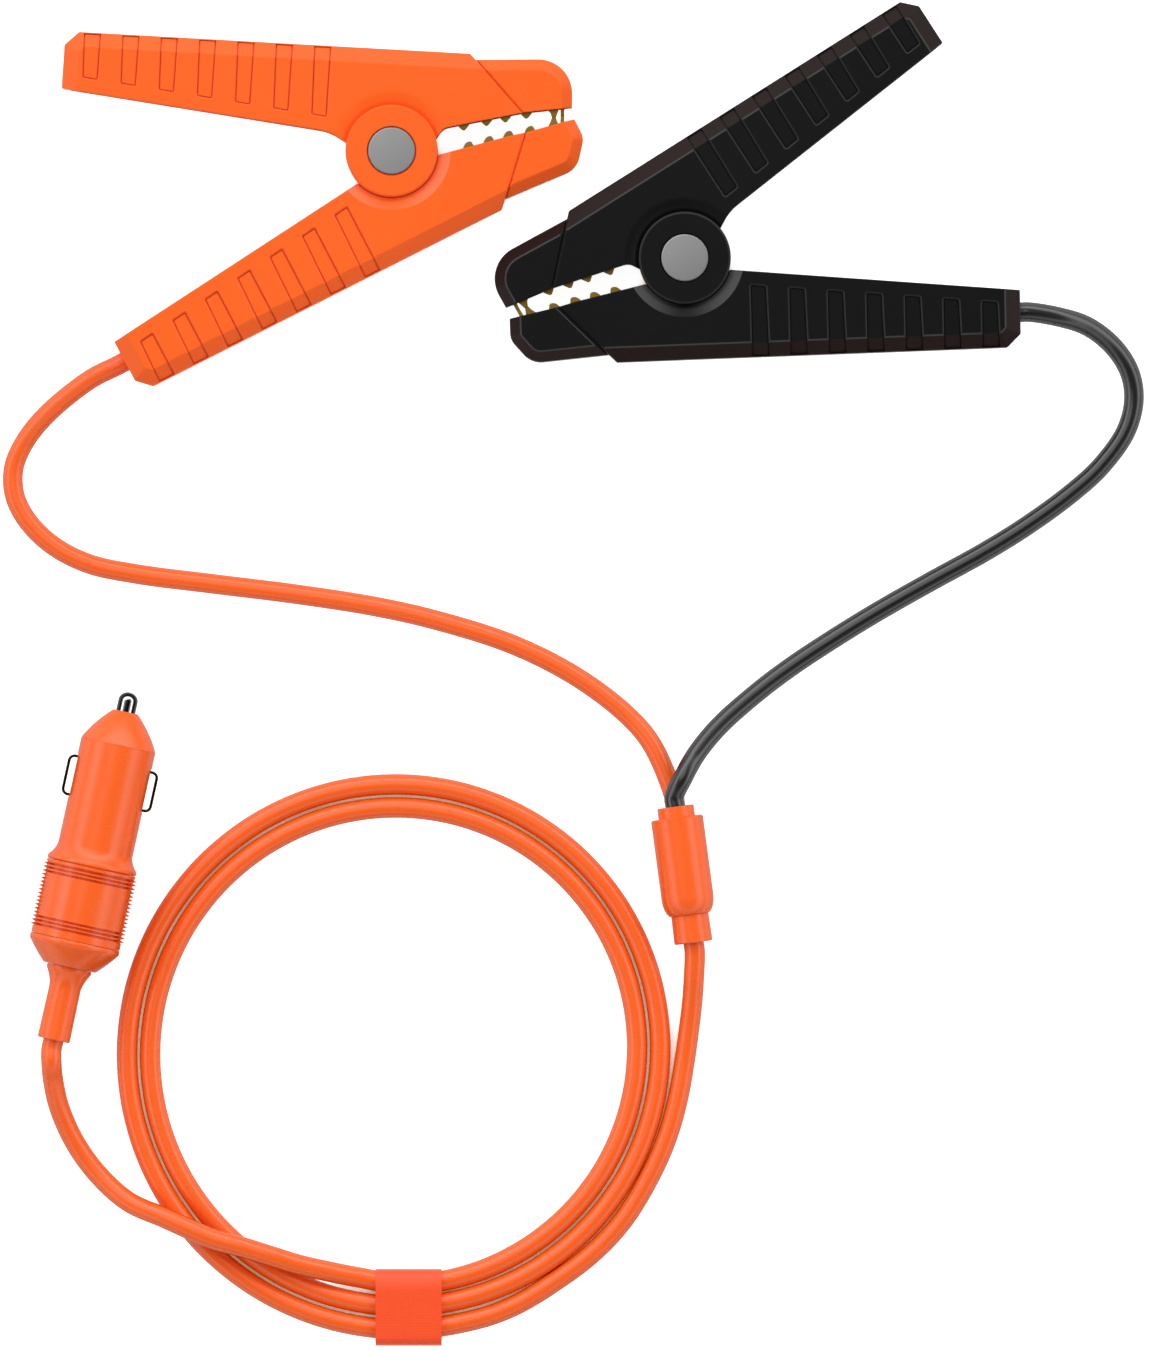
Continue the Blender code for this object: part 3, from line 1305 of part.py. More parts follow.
def build_plug():
    frame = frame_at("plug", (*PLUG_END, PLUG_HEIGHT), lying_axis(PLUG_LEAN))
    place("plug_barrel", plug_barrel(), "orange_gloss", frame)
    place("plug_nose_cap", nose_cap(), "orange_gloss", frame)
    place("plug_core", plug_core(), "natural_plastic", frame)
    place("plug_side_contact_left", side_contact(-1), "nickel", frame)
    place("plug_side_contact_right", side_contact(1), "nickel", frame)
    place("plug_grip_sleeve", grip_sleeve(), "orange_gloss", frame)
    place("plug_tail", plug_tail(), "orange_gloss", frame)
    place("plug_boot", plug_boot(), "orange_gloss", frame)
    place("plug_tip_contact", tip_contact(), "nickel", frame)
    place("plug_fuse_front_cap", fuse_cap(True), "nickel", frame)
    place("plug_fuse_rear_cap", fuse_cap(False), "nickel", frame)
    glass_low = FUSE_START + FUSE_CAP_WALL + GAP
    glass_high = FUSE_END - FUSE_CAP_WALL - GAP
    glass_inner = FUSE_GLASS_RADIUS - FUSE_GLASS_WALL
    glass = tube_wall(glass_inner, FUSE_GLASS_RADIUS, glass_low, glass_high, FINE_SIDES)
    place("plug_fuse_glass", glass, "fuse_glass", frame)
    place("plug_rear_contact", rear_contact(), "brass", frame)
    place("plug_ground_ring", ground_ring(), "brass", frame)
    points = tip_spring_points()
    tube("plug_tip_spring", points, TIP_SPRING_WIRE, 1, "spring_steel", frame)
    gap = least_gap(points, TIP_SPRING_WIRE, CURL_POINTS // 2)
    print(f"tip spring's least gap to itself: {gap / MM:.2f} mm")
    cable_end = GRIP_START + TAIL_SPIGOT + GAP + BOOT_FLANGE
    place("plug_cable_end", cylinder(MAIN_RADIUS, 0, cable_end, FINE_SIDES), "orange_cord", frame)
    wire_height = CORE_RADIUS - WIRE_DIAMETER / 2 - 2 * GAP
    ground = [
        Vector((0, MAIN_RADIUS * 2 / 3, cable_end + GAP)),
        Vector((0, MAIN_RADIUS * 2 / 3, cable_end + GAP + WIRE_DIAMETER / 2)),
        Vector((0, wire_height, CORE_START)),
        Vector((0, wire_height, RING_START - WIRE_DIAMETER)),
        Vector((0, wire_height, RING_START)),
    ]
    tube("plug_ground_wire", smooth(ground, 2 * WIRE_DIAMETER), WIRE_DIAMETER, 2, "copper", frame)
    return frame


# Splitter


def oblong(width, height, low, high, steps=8):
    """A prism along +Z with a stadium section: width along X, height along Y."""
    radius = width / 2
    straight = height / 2 - radius
    outline = []
    for centre, start in ((straight, 0.0), (-straight, math.pi)):
        for step in range(steps + 1):
            angle = start + math.pi * step / steps
            outline.append((radius * math.cos(angle), centre + radius * math.sin(angle)))
    return prism(outline, low, high)


def splitter_profile(inset, low, high):
    """The splitter's turned shape from low to high, or, with an inset, the room inside it."""
    neck = NECK_RADIUS - inset
    full = SPLITTER_RADIUS - inset
    shoulder = NECK_LENGTH + inset
    profile = [(0, low), (neck, low)]
    if low < shoulder:
        profile.append((neck, shoulder))
    for step in range(1, SPLITTER_ROUND_STEPS + 1):
        angle = math.pi / 2 * step / SPLITTER_ROUND_STEPS
        radius = neck + (full - neck) * math.sin(angle)
        profile.append((radius, shoulder + SPLITTER_ROUND * (1 - math.cos(angle))))
    profile += [(full, high - SPLITTER_EDGE), (full - SPLITTER_EDGE, high), (0, high)]
    return profile


def build_splitter():
    frame = frame_at("splitter", (*SPLITTER_END, SPLITTER_HEIGHT), lying_axis(SPLITTER_LEAN))
    body = turned(splitter_profile(0, 0, SPLITTER_BODY))
    collar = oblong(COLLAR_WIDTH, COLLAR_HEIGHT, SPLITTER_BODY - SPLITTER_WALL, SPLITTER_LENGTH)
    room_low, room_high = NECK_LENGTH + SPLITTER_WALL, SPLITTER_BODY - SPLITTER_WALL
    room = turned(splitter_profile(SPLITTER_WALL, room_low, room_high))
    way_in = oblong(
        LEAD_DIAMETER + 2 * GAP,
        LEAD_DIAMETER + 2 * LEAD_OFFSET + 2 * GAP,
        SPLITTER_BODY - 2 * SPLITTER_WALL,
        SPLITTER_LENGTH + SPLITTER_WALL,
    )
    way_out = cylinder(MAIN_RADIUS + GAP, -SPLITTER_WALL, NECK_LENGTH + 2 * SPLITTER_WALL, FINE_SIDES)
    housing = cut(joined(body, collar), room, way_in, way_out)
    wide = SPLITTER_LENGTH * 2
    for name, low, high in (
        ("splitter_top_shell", -wide, -GAP / 2),
        ("splitter_bottom_shell", GAP / 2, wide),
    ):
        half = common(housing, box((-wide, low, -wide), (wide, high, wide)))
        place(name, half, "orange_gloss", frame)
    cord_end = cylinder(MAIN_RADIUS, 0, CORD_GRIP, FINE_SIDES)
    place("splitter_cord_end", cord_end, "orange_cord", frame)
    splice_low = CORD_GRIP + GAP
    for name, side in (("splitter_black_splice", -1), ("splitter_orange_splice", 1)):
        splice = turned((
            (0, splice_low),
            (SPLICE_RADIUS, splice_low),
            (SPLICE_RADIUS, splice_low + SPLICE_LENGTH),
            (LEAD_RADIUS, SPLITTER_LENGTH - SPLICE_TAIL),
            (LEAD_RADIUS, SPLITTER_LENGTH),
            (0, SPLITTER_LENGTH),
        ), FINE_SIDES)
        splice.transform(Matrix.Translation((0, side * LEAD_OFFSET, 0)))
        place(name, splice, "copper", frame)
    return frame


# Cords, coil and strap


def coil_points():
    """Two flat turns, clockwise from the strap, lifted where the strap passes under them."""
    straight = MAIN_DIAMETER / (2 * math.pi * COIL_RADIUS)
    turns = [step / COIL_LOOP_POINTS for step in range(COIL_TURNS * COIL_LOOP_POINTS + 1)]
    for passing in range(COIL_TURNS + 1):
        turns += [passing - straight, passing + straight]
    points = []
    for turn in sorted(turn for turn in turns if 0 <= turn <= COIL_TURNS):
        angle = COIL_START - 2 * math.pi * turn
        radius = COIL_RADIUS - COIL_PITCH * turn
        from_strap = (turn + 0.5) % 1 - 0.5
        lift = STRAP_LIFT * math.exp(-((2 * math.pi * from_strap / STRAP_SPREAD) ** 2))
        x = COIL_CENTRE[0] + radius * math.cos(angle)
        y = COIL_CENTRE[1] + radius * math.sin(angle)
        points.append(Vector((x, y, MAIN_FLOOR + lift)))
    return points


def exit_route(frame, start, outwards, route, floor, diameter):
    """A route from an exit of a sub-assembly: straight out for a diameter, then along its points."""
    matrix = Matrix.LocRotScale(frame.location, frame.rotation_euler, None)
    at = matrix @ Vector(start)
    way = (matrix.to_3x3() @ Vector(outwards)).normalized()
    return [at + way * GAP, at + way * (GAP + diameter), *raised(route, floor)]


def build_cords(orange, black, plug, splitter):
    exit_at, outwards = cable_exit()
    lead_step = LEAD_DIAMETER / POINTS_PER_DIAMETER
    for name, clamp, route, side, colour in (
        ("orange_lead", orange, ORANGE_LEAD_ROUTE, 1, "orange_cord"),
        ("black_lead", black, BLACK_LEAD_ROUTE, -1, "black_cord"),
    ):
        start = exit_route(clamp, exit_at, outwards, route, LEAD_FLOOR, LEAD_DIAMETER)
        collar = (0, side * LEAD_OFFSET, SPLITTER_LENGTH)
        end = exit_route(splitter, collar, (0, 0, 1), (), LEAD_FLOOR, LEAD_DIAMETER)
        tube(name, smooth(start + end[::-1], lead_step), LEAD_DIAMETER, 3, colour)

    main_step = MAIN_DIAMETER / POINTS_PER_DIAMETER
    coil = coil_points()
    tube("cord_coil", coil, MAIN_DIAMETER, 1, "orange_cord")
    skip = COIL_LOOP_POINTS // 2
    print(f"coil's least gap to itself: {least_gap(coil, MAIN_DIAMETER, skip) / MM:.2f} mm")
    coil_in = (coil[1] - coil[0]).normalized()
    coil_out = (coil[-1] - coil[-2]).normalized()
    start = exit_route(splitter, (0, 0, 0), (0, 0, -1), MAIN_CORD_ROUTE, MAIN_FLOOR, MAIN_DIAMETER)
    joint = coil[0] - coil_in * GAP
    start += [joint - coil_in * MAIN_DIAMETER, joint]
    tube("main_cord", smooth(start, main_step), MAIN_DIAMETER, 3, "orange_cord")
    leave = coil[-1] + coil_out * GAP
    end = exit_route(plug, (0, 0, 0), (0, 0, -1), (), MAIN_FLOOR, MAIN_DIAMETER)
    route = [leave, leave + coil_out * MAIN_DIAMETER, *raised(PLUG_CORD_ROUTE, MAIN_FLOOR), *end[::-1]]
    tube("plug_cord", smooth(route, main_step), MAIN_DIAMETER, 3, "orange_cord")


def build_strap():
    """A flat band round the three strands, at the coil's near side."""
    coil = coil_points()
    outer_strand, inner_strand = coil[0], coil[-1]
    room_low = outer_strand.y - MAIN_RADIUS - GAP - STRAP_EASE / 2
    room_high = inner_strand.y + MAIN_RADIUS + GAP + STRAP_EASE
    middle = COIL_CENTRE[0] + COIL_RADIUS * math.cos(COIL_START)
    room_top = STRAP_SHEET + MAIN_DIAMETER + 2 * GAP
    rings = []
    for grow in (0, STRAP_SHEET):
        low_y, low_z = room_low - grow, STRAP_SHEET - grow
        high_y, high_z = room_high + grow, room_top + grow
        radius = MAIN_RADIUS + grow
        ring = []
        for y, z, start in (
            (high_y - radius, high_z - radius, 0),
            (low_y + radius, high_z - radius, 90),
            (low_y + radius, low_z + radius, 180),
            (high_y - radius, low_z + radius, 270),
        ):
            for step in range(STRAP_BEND_STEPS + 1):
                angle = math.radians(start + 90 * step / STRAP_BEND_STEPS)
                ring.append((y + radius * math.cos(angle), z + radius * math.sin(angle)))
        rings.append(ring)
    bm = bmesh.new()
    edges = []
    for x in (middle - STRAP_WIDTH / 2, middle + STRAP_WIDTH / 2):
        edges.append([[bm.verts.new((x, y, z)) for y, z in ring] for ring in rings])
    (near_in, near_out), (far_in, far_out) = edges
    count = len(near_in)
    for i in range(count):
        j = (i + 1) % count
        bm.faces.new((near_out[i], near_out[j], far_out[j], far_out[i]))
        bm.faces.new((near_in[j], near_in[i], far_in[i], far_in[j]))
        bm.faces.new((near_in[i], near_in[j], near_out[j], near_out[i]))
        bm.faces.new((far_in[j], far_in[i], far_out[i], far_out[j]))
    place("coil_strap", finish(bm, "strap"), "strap_fabric", None)


def main():
    clear_scene()
    orange, black = build_clamps()
    plug = build_plug()
    splitter = build_splitter()
    build_cords(orange, black, plug, splitter)
    build_strap()


main()
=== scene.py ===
# Looks for a 12 V battery charging cable set: two sprung clamps, their leads, a Y splitter,
# one cord in a strapped coil, and a plug for a car's socket.
import json
import math

import bmesh
import bpy
from mathutils import Matrix, Vector


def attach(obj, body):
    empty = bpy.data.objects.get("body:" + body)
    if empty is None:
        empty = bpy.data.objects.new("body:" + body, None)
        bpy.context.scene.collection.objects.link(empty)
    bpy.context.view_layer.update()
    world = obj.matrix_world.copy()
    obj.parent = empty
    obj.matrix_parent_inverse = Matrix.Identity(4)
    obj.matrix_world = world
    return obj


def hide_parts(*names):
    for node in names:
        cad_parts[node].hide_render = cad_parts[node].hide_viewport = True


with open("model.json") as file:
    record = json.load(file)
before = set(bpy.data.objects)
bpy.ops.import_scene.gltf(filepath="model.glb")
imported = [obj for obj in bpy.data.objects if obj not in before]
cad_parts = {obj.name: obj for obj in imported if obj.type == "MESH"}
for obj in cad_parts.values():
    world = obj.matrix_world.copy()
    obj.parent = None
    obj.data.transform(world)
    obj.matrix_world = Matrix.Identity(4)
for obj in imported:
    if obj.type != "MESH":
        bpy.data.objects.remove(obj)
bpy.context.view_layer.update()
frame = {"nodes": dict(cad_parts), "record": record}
nodes = frame["nodes"]
print("frame loaded:", len(nodes), "nodes")

mm = 0.001
fit = 0.3  # gap in mm between pieces that sit inside each other

# Where things lie, in mm

layout = {
    "orangePivot": (-37.3, 145.9),
    "blackPivot": (44.7, 116.0),
    "blackTurn": 29.06,
    "clampMiddle": 14.0,
    "plugEnd": (-132.0, -102.9),
    "plugLean": -12.4,
    "plugHeight": 12.85,
    "splitterEnd": (47.2, -75.7),
    "splitterLean": 7.6,
    "splitterHeight": 7.35,
    "coilCentre": (-35.2, -106.05),
}


def lyingFrame(end, lean, height):  # +Z runs along the piece, +X to its right, +Y down
    angle = math.radians(lean)
    along = Vector((-math.sin(angle), math.cos(angle), 0))
    right = Vector((math.cos(angle), math.sin(angle), 0))
    turn = Matrix((right, along.cross(right), along)).transposed().to_4x4()
    return Matrix.Translation((end[0], end[1], height)) @ turn


orangeFrame = Matrix.Translation((*layout["orangePivot"], layout["clampMiddle"]))
blackFrame = (
    Matrix.Translation((*layout["blackPivot"], layout["clampMiddle"]))
    @ Matrix.Rotation(math.radians(layout["blackTurn"]), 4, "Z")
    @ Matrix.Rotation(math.pi, 4, "Y")
)
plugFrame = lyingFrame(layout["plugEnd"], layout["plugLean"], layout["plugHeight"])
splitterFrame = lyingFrame(layout["splitterEnd"], layout["splitterLean"], layout["splitterHeight"])
toMetres = Matrix.Scale(mm, 4)

# Camera

cameraSetup = {
    "centre": (13.86, -0.70),
    "height": 12.0,  # in metres
    "pictureHeight": 378.0,
    "truePlane": 12.0,  # height above the table at which the picture shows pieces at their size
    "sensor": 36.0,
}


def makeCamera():
    data = bpy.data.cameras.new("camera")
    data.sensor_width = cameraSetup["sensor"]
    reach = cameraSetup["height"] - cameraSetup["truePlane"] * mm
    data.lens = cameraSetup["sensor"] * reach / (cameraSetup["pictureHeight"] * mm)
    data.clip_end = 2 * cameraSetup["height"]
    camera = bpy.data.objects.new("camera", data)
    bpy.context.collection.objects.link(camera)
    x, y = cameraSetup["centre"]
    camera.location = (x * mm, y * mm, cameraSetup["height"])
    bpy.context.scene.camera = camera


makeCamera()
print("camera placed")

# World, lamp and floor

lightSetup = {
    "zenith": 0.20,
    "lens": 0.08,  # the dark patch that a camera makes overhead
    "band": 2.2,  # a bright ring round the set, which draws streaks on round pieces
    "farSide": 1.35,  # how bright the ring is beyond the clamps, and on the near side
    "nearSide": 0.3,
    "lampPower": 3.0,
    "lampPlace": (-0.25, 0.45, 1.2),
    "lampSize": 0.9,
}


def link(tree, fromSocket, toSocket):
    tree.links.new(fromSocket, toSocket)


def mathNode(tree, operation, a, b=None, c=None, clamp=False):
    node = tree.nodes.new("ShaderNodeMath")
    node.operation = operation
    node.use_clamp = clamp
    for socket, value in zip(node.inputs, (a, b, c)):
        if value is None:
            continue
        if isinstance(value, (int, float)):
            socket.default_value = value
        else:
            link(tree, value, socket)
    return node.outputs[0]


def ramp(tree, value, stops):
    node = tree.nodes.new("ShaderNodeValToRGB")
    elements = node.color_ramp.elements
    while len(elements) < len(stops):
        elements.new(0.5)
    for element, (position, level) in zip(elements, stops):
        element.position = position
        element.color = (level, level, level, 1) if isinstance(level, (int, float)) else (*level, 1)
    link(tree, value, node.inputs["Fac"])
    return node.outputs["Color"]


def makeWorld():
    world = bpy.data.worlds.new("studio")
    bpy.context.scene.world = world
    world.use_nodes = True
    tree = world.node_tree
    background = tree.nodes["Background"]
    direction = tree.nodes.new("ShaderNodeTexCoord").outputs["Generated"]
    parts = tree.nodes.new("ShaderNodeSeparateXYZ")
    link(tree, direction, parts.inputs[0])
    zenith, band = lightSetup["zenith"], lightSetup["band"]
    lens = lightSetup["lens"] / band
    level = ramp(tree, parts.outputs["Z"], [  # from the horizon up to straight overhead
        (0.0, 0.08), (0.14, 0.16), (0.24, 0.50), (0.38, 0.60), (0.46, 1.0), (0.64, 1.0),
        (0.76, zenith / band), (0.88, zenith / band), (0.97, lens),
    ])
    towardsFar = mathNode(tree, "MULTIPLY_ADD", parts.outputs["Y"], 0.5, 0.5)
    side = ramp(tree, towardsFar, [
        (0.0, lightSetup["nearSide"] / 2), (0.3, 0.375), (0.5, 0.5), (1.0, lightSetup["farSide"] / 2),
    ])
    level = mathNode(tree, "MULTIPLY", level, mathNode(tree, "MULTIPLY", side, 2.0))
    level = mathNode(tree, "MULTIPLY", level, band)
    seen = tree.nodes.new("ShaderNodeLightPath")
    toBackdrop = mathNode(tree, "MAXIMUM", seen.outputs["Is Camera Ray"], seen.outputs["Is Transmission Ray"])
    mix = tree.nodes.new("ShaderNodeMix")
    mix.data_type = "FLOAT"
    link(tree, toBackdrop, mix.inputs["Factor"])
    link(tree, level, mix.inputs["A"])
    mix.inputs["B"].default_value = 1.0
    link(tree, mix.outputs["Result"], background.inputs["Strength"])
    background.inputs["Color"].default_value = (1, 1, 1, 1)


def makeLamp():
    data = bpy.data.lights.new("softbox", "AREA")
    data.energy = lightSetup["lampPower"]
    data.size = lightSetup["lampSize"]
    lamp = bpy.data.objects.new("softbox", data)
    bpy.context.collection.objects.link(lamp)
    lamp.location = lightSetup["lampPlace"]
    lamp.rotation_euler = (-lamp.location).to_track_quat("-Z", "Y").to_euler()


floorSetup = {
    "size": 30.0,  # in metres
    "drop": 0.02,
    "shade": 0.80,
    "glow": 0.95,
    "slitWidth": 4.5,
    "slit": (0.40, 0.17, 0.06),  # painted tan shade on the floor in the slits between the coil's strands
}


def makeFloor():
    bm = bmesh.new()
    bmesh.ops.create_grid(bm, x_segments=1, y_segments=1, size=floorSetup["size"] / 2)
    mesh = bpy.data.meshes.new("floor")
    bm.to_mesh(mesh)
    bm.free()
    floor = bpy.data.objects.new("floor", mesh)
    bpy.context.collection.objects.link(floor)
    floor.location.z = -floorSetup["drop"] * mm
    material = bpy.data.materials.new("whiteTable")
    material.use_nodes = True
    tree = material.node_tree
    shader = tree.nodes["Principled BSDF"]
    shader.inputs["Base Color"].default_value = (floorSetup["shade"],) * 3 + (1,)
    shader.inputs["Roughness"].default_value = 0.9
    shader.inputs["Specular IOR Level"].default_value = 0.0
    seen = tree.nodes.new("ShaderNodeLightPath")
    straight = mathNode(tree, "MAXIMUM", seen.outputs["Is Camera Ray"], seen.outputs["Is Glossy Ray"])
    straight = mathNode(tree, "MAXIMUM", straight, seen.outputs["Is Transmission Ray"])
    glow = mathNode(tree, "MULTIPLY", straight, floorSetup["glow"])
    # painted shade: the floor's glow turns tan where pieces cover it closely, as in the slits between the
    # coil's strands
    cover = tree.nodes.new("ShaderNodeAmbientOcclusion")
    cover.inputs["Distance"].default_value = floorSetup["slitWidth"] * mm
    cover.samples = 8
    tint = ramp(tree, cover.outputs["AO"], [(0.25, floorSetup["slit"]), (0.40, (1, 1, 1))])
    link(tree, tint, shader.inputs["Emission Color"])
    link(tree, glow, shader.inputs["Emission Strength"])
    mesh.materials.append(material)


makeWorld()
makeLamp()
makeFloor()
print("studio ready")

# Shader groups that several materials share


def makeGroup(name, inputs, outputs):
    group = bpy.data.node_groups.new(name, "ShaderNodeTree")
    for socketName, kind, value in inputs:
        socket = group.interface.new_socket(socketName, in_out="INPUT", socket_type=kind)
        socket.default_value = value
    for socketName, kind in outputs:
        group.interface.new_socket(socketName, in_out="OUTPUT", socket_type=kind)
    start = group.nodes.new("NodeGroupInput")
    end = group.nodes.new("NodeGroupOutput")
    return group, start, end


def noiseNode(tree, coordinates, scale, detail=2.0, roughness=0.5):
    node = tree.nodes.new("ShaderNodeTexNoise")
    link(tree, coordinates, node.inputs["Vector"])
    if isinstance(scale, (int, float)):
        node.inputs["Scale"].default_value = scale
    else:
        link(tree, scale, node.inputs["Scale"])
    node.inputs["Detail"].default_value = detail
    node.inputs["Roughness"].default_value = roughness
    return node.outputs["Fac"]


def shifted(tree, value, amount):  # amount times the distance from one half
    return mathNode(tree, "MULTIPLY", mathNode(tree, "SUBTRACT", value, 0.5), amount)


def scaledColour(tree, colour, factor):  # colour is three numbers, or a socket
    node = tree.nodes.new("ShaderNodeVectorMath")
    node.operation = "SCALE"
    if isinstance(colour, tuple):
        node.inputs[0].default_value = colour
    else:
        link(tree, colour, node.inputs[0])
    link(tree, factor, node.inputs["Scale"])
    return node.outputs[0]


def mouldedSurface():  # colour drift, shine variation and a fine grain, as on moulded plastic
    group, start, end = makeGroup(
        "mouldedSurface",
        [
            ("Colour", "NodeSocketColor", (1, 1, 1, 1)),
            ("Drift", "NodeSocketFloat", 0.05),
            ("Roughness", "NodeSocketFloat", 0.4),
            ("Spread", "NodeSocketFloat", 0.1),
            ("Grain Scale", "NodeSocketFloat", 1500.0),
            ("Handling", "NodeSocketFloat", 0.1),
        ],
        [("Colour", "NodeSocketColor"), ("Roughness", "NodeSocketFloat"), ("Height", "NodeSocketFloat")],
    )
    place = group.nodes.new("ShaderNodeTexCoord").outputs["Object"]
    broad = noiseNode(group, place, 22.0, 3.0)
    smudges = noiseNode(group, place, 75.0, 4.0, 0.65)
    grain = noiseNode(group, place, start.outputs["Grain Scale"], 1.0)
    shade = mathNode(group, "ADD", shifted(group, broad, start.outputs["Drift"]), 1.0)
    link(group, scaledColour(group, start.outputs["Colour"], shade), end.inputs["Colour"])
    worn = ramp(group, smudges, [(0.45, 0.0), (0.72, 1.0)])
    worn = mathNode(group, "MULTIPLY", worn, start.outputs["Handling"])
    level = mathNode(group, "ADD", start.outputs["Roughness"], shifted(group, broad, start.outputs["Spread"]))
    level = mathNode(group, "ADD", level, worn, clamp=True)
    link(group, level, end.inputs["Roughness"])
    link(group, grain, end.inputs["Height"])
    return group


def brushedSurface():  # fine lines that run along Y
    group, start, end = makeGroup(
        "brushedSurface",
        [
            ("Roughness", "NodeSocketFloat", 0.3),
            ("Spread", "NodeSocketFloat", 0.15),
            ("Line Scale", "NodeSocketFloat", 900.0),
            ("Tarnish", "NodeSocketFloat", 0.1),
        ],
        [("Shade", "NodeSocketFloat"), ("Roughness", "NodeSocketFloat"), ("Height", "NodeSocketFloat")],
    )
    place = group.nodes.new("ShaderNodeTexCoord").outputs["Object"]
    stretch = group.nodes.new("ShaderNodeMapping")
    stretch.inputs["Scale"].default_value = (1.0, 0.06, 1.0)
    link(group, place, stretch.inputs["Vector"])
    lines = noiseNode(group, stretch.outputs[0], start.outputs["Line Scale"], 3.0, 0.7)
    broad = noiseNode(group, place, 120.0, 3.0)
    shade = mathNode(group, "SUBTRACT", 1.0, mathNode(group, "MULTIPLY", broad, start.outputs["Tarnish"]))
    link(group, shade, end.inputs["Shade"])
    spread = shifted(group, lines, start.outputs["Spread"])
    level = mathNode(group, "ADD", start.outputs["Roughness"], spread, clamp=True)
    link(group, level, end.inputs["Roughness"])
    link(group, lines, end.inputs["Height"])
    return group


moulded = mouldedSurface()
brushed = brushedSurface()

# Materials


def newMaterial(name):
    material = bpy.data.materials.new(name)
    material.use_nodes = True
    return material, material.node_tree, material.node_tree.nodes["Principled BSDF"]


def placeGroup(tree, group, values):
    node = tree.nodes.new("ShaderNodeGroup")
    node.node_tree = group
    for name, value in values.items():
        node.inputs[name].default_value = value
    return node


def bumpFrom(tree, height, distance, shader):
    bump = tree.nodes.new("ShaderNodeBump")
    bump.inputs["Distance"].default_value = distance
    bump.inputs["Strength"].default_value = 1.0
    link(tree, height, bump.inputs["Height"])
    link(tree, bump.outputs["Normal"], shader.inputs["Normal"])


# edge sets a painted shade that darkens round pieces where they turn away
plasticFinishes = {
    "orangeHandlePlastic": {
        "Colour": (1.0, 0.128, 0.010, 1), "Drift": 0.05, "Roughness": 0.38, "Spread": 0.08,
        "Grain Scale": 1900.0, "Handling": 0.10, "grain": 0.012, "specular": 0.24, "edge": 0.0,
        # marks add painted light: paler pocket ends, pale highlight lines on edges, and painted light on the
        # chamfers
        "marks": {"pocketPaintedLight": (0.06, 0.06, 0.06), "chamferPaintedLight": (0.0, 0.005, 0.006)},
    },
    "blackHandlePlastic": {
        "Colour": (0.0044, 0.0044, 0.0045, 1), "Drift": 0.35, "Roughness": 0.36, "Spread": 0.10,
        "Grain Scale": 1900.0, "Handling": 0.12, "grain": 0.012, "specular": 0.13, "edge": 0.0,
        "marks": {
            "pocketPaintedLight": (0.06, 0.06, 0.06), "edgePaintedHighlight": (0.045, 0.044, 0.043),
            "chamferPaintedLight": (0.011, 0.003, 0.002),
        },
    },
    "orangePlugPlastic": {
        "Colour": (1.0, 0.130, 0.012, 1), "Drift": 0.04, "Roughness": 0.27, "Spread": 0.06,
        "Grain Scale": 2400.0, "Handling": 0.06, "grain": 0.006, "specular": 0.55, "edge": 0.35,
    },
    "orangeJacket": {
        "Colour": (1.0, 0.130, 0.012, 1), "Drift": 0.06, "Roughness": 0.26, "Spread": 0.06,
        "Grain Scale": 1300.0, "Handling": 0.03, "grain": 0.006, "specular": 0.60, "edge": 0.45,
    },
    "blackJacket": {
        "Colour": (0.006, 0.006, 0.007, 1), "Drift": 0.3, "Roughness": 0.24, "Spread": 0.06,
        "Grain Scale": 1300.0, "Handling": 0.03, "grain": 0.006, "specular": 0.95, "edge": 0.5,
    },
    "paleCorePlastic": {
        "Colour": (0.72, 0.69, 0.61, 1), "Drift": 0.05, "Roughness": 0.5, "Spread": 0.08,
        "Grain Scale": 1600.0, "Handling": 0.05, "grain": 0.01, "specular": 0.4, "edge": 0.0,
    },
}


def makePlastic(name):
    finish = dict(plasticFinishes[name])
    grain = finish.pop("grain")
    specular = finish.pop("specular")
    edge = finish.pop("edge")
    marks = finish.pop("marks", {})
    material, tree, shader = newMaterial(name)
    group = placeGroup(tree, moulded, finish)
    colour = group.outputs["Colour"]
    shader.inputs["Specular IOR Level"].default_value = specular
    if edge:  # painted shade: darker and duller where a round piece turns away
        turn = tree.nodes.new("ShaderNodeLayerWeight")
        turn.inputs["Blend"].default_value = 0.5
        facing = turn.outputs["Facing"]
        colour = scaledColour(tree, colour, ramp(tree, facing, [(0.30, 1.0), (0.85, 1.0 - edge)]))
        shine = ramp(tree, facing, [(0.22, specular), (0.50, 0.3 * specular), (0.75, 0.05 * specular)])
        link(tree, shine, shader.inputs["Specular IOR Level"])
    for mark, tint in marks.items():  # painted light: places of the moulding that are painted paler or warmer where light or a reflection would fall
        share = tree.nodes.new("ShaderNodeAttribute")
        share.attribute_name = mark
        added = tree.nodes.new("ShaderNodeVectorMath")
        added.operation = "ADD"
        link(tree, colour, added.inputs[0])
        link(tree, scaledColour(tree, tint, share.outputs["Fac"]), added.inputs[1])
        colour = added.outputs[0]
    link(tree, colour, shader.inputs["Base Color"])
    link(tree, group.outputs["Roughness"], shader.inputs["Roughness"])
    bumpFrom(tree, group.outputs["Height"], grain * mm, shader)
    return material


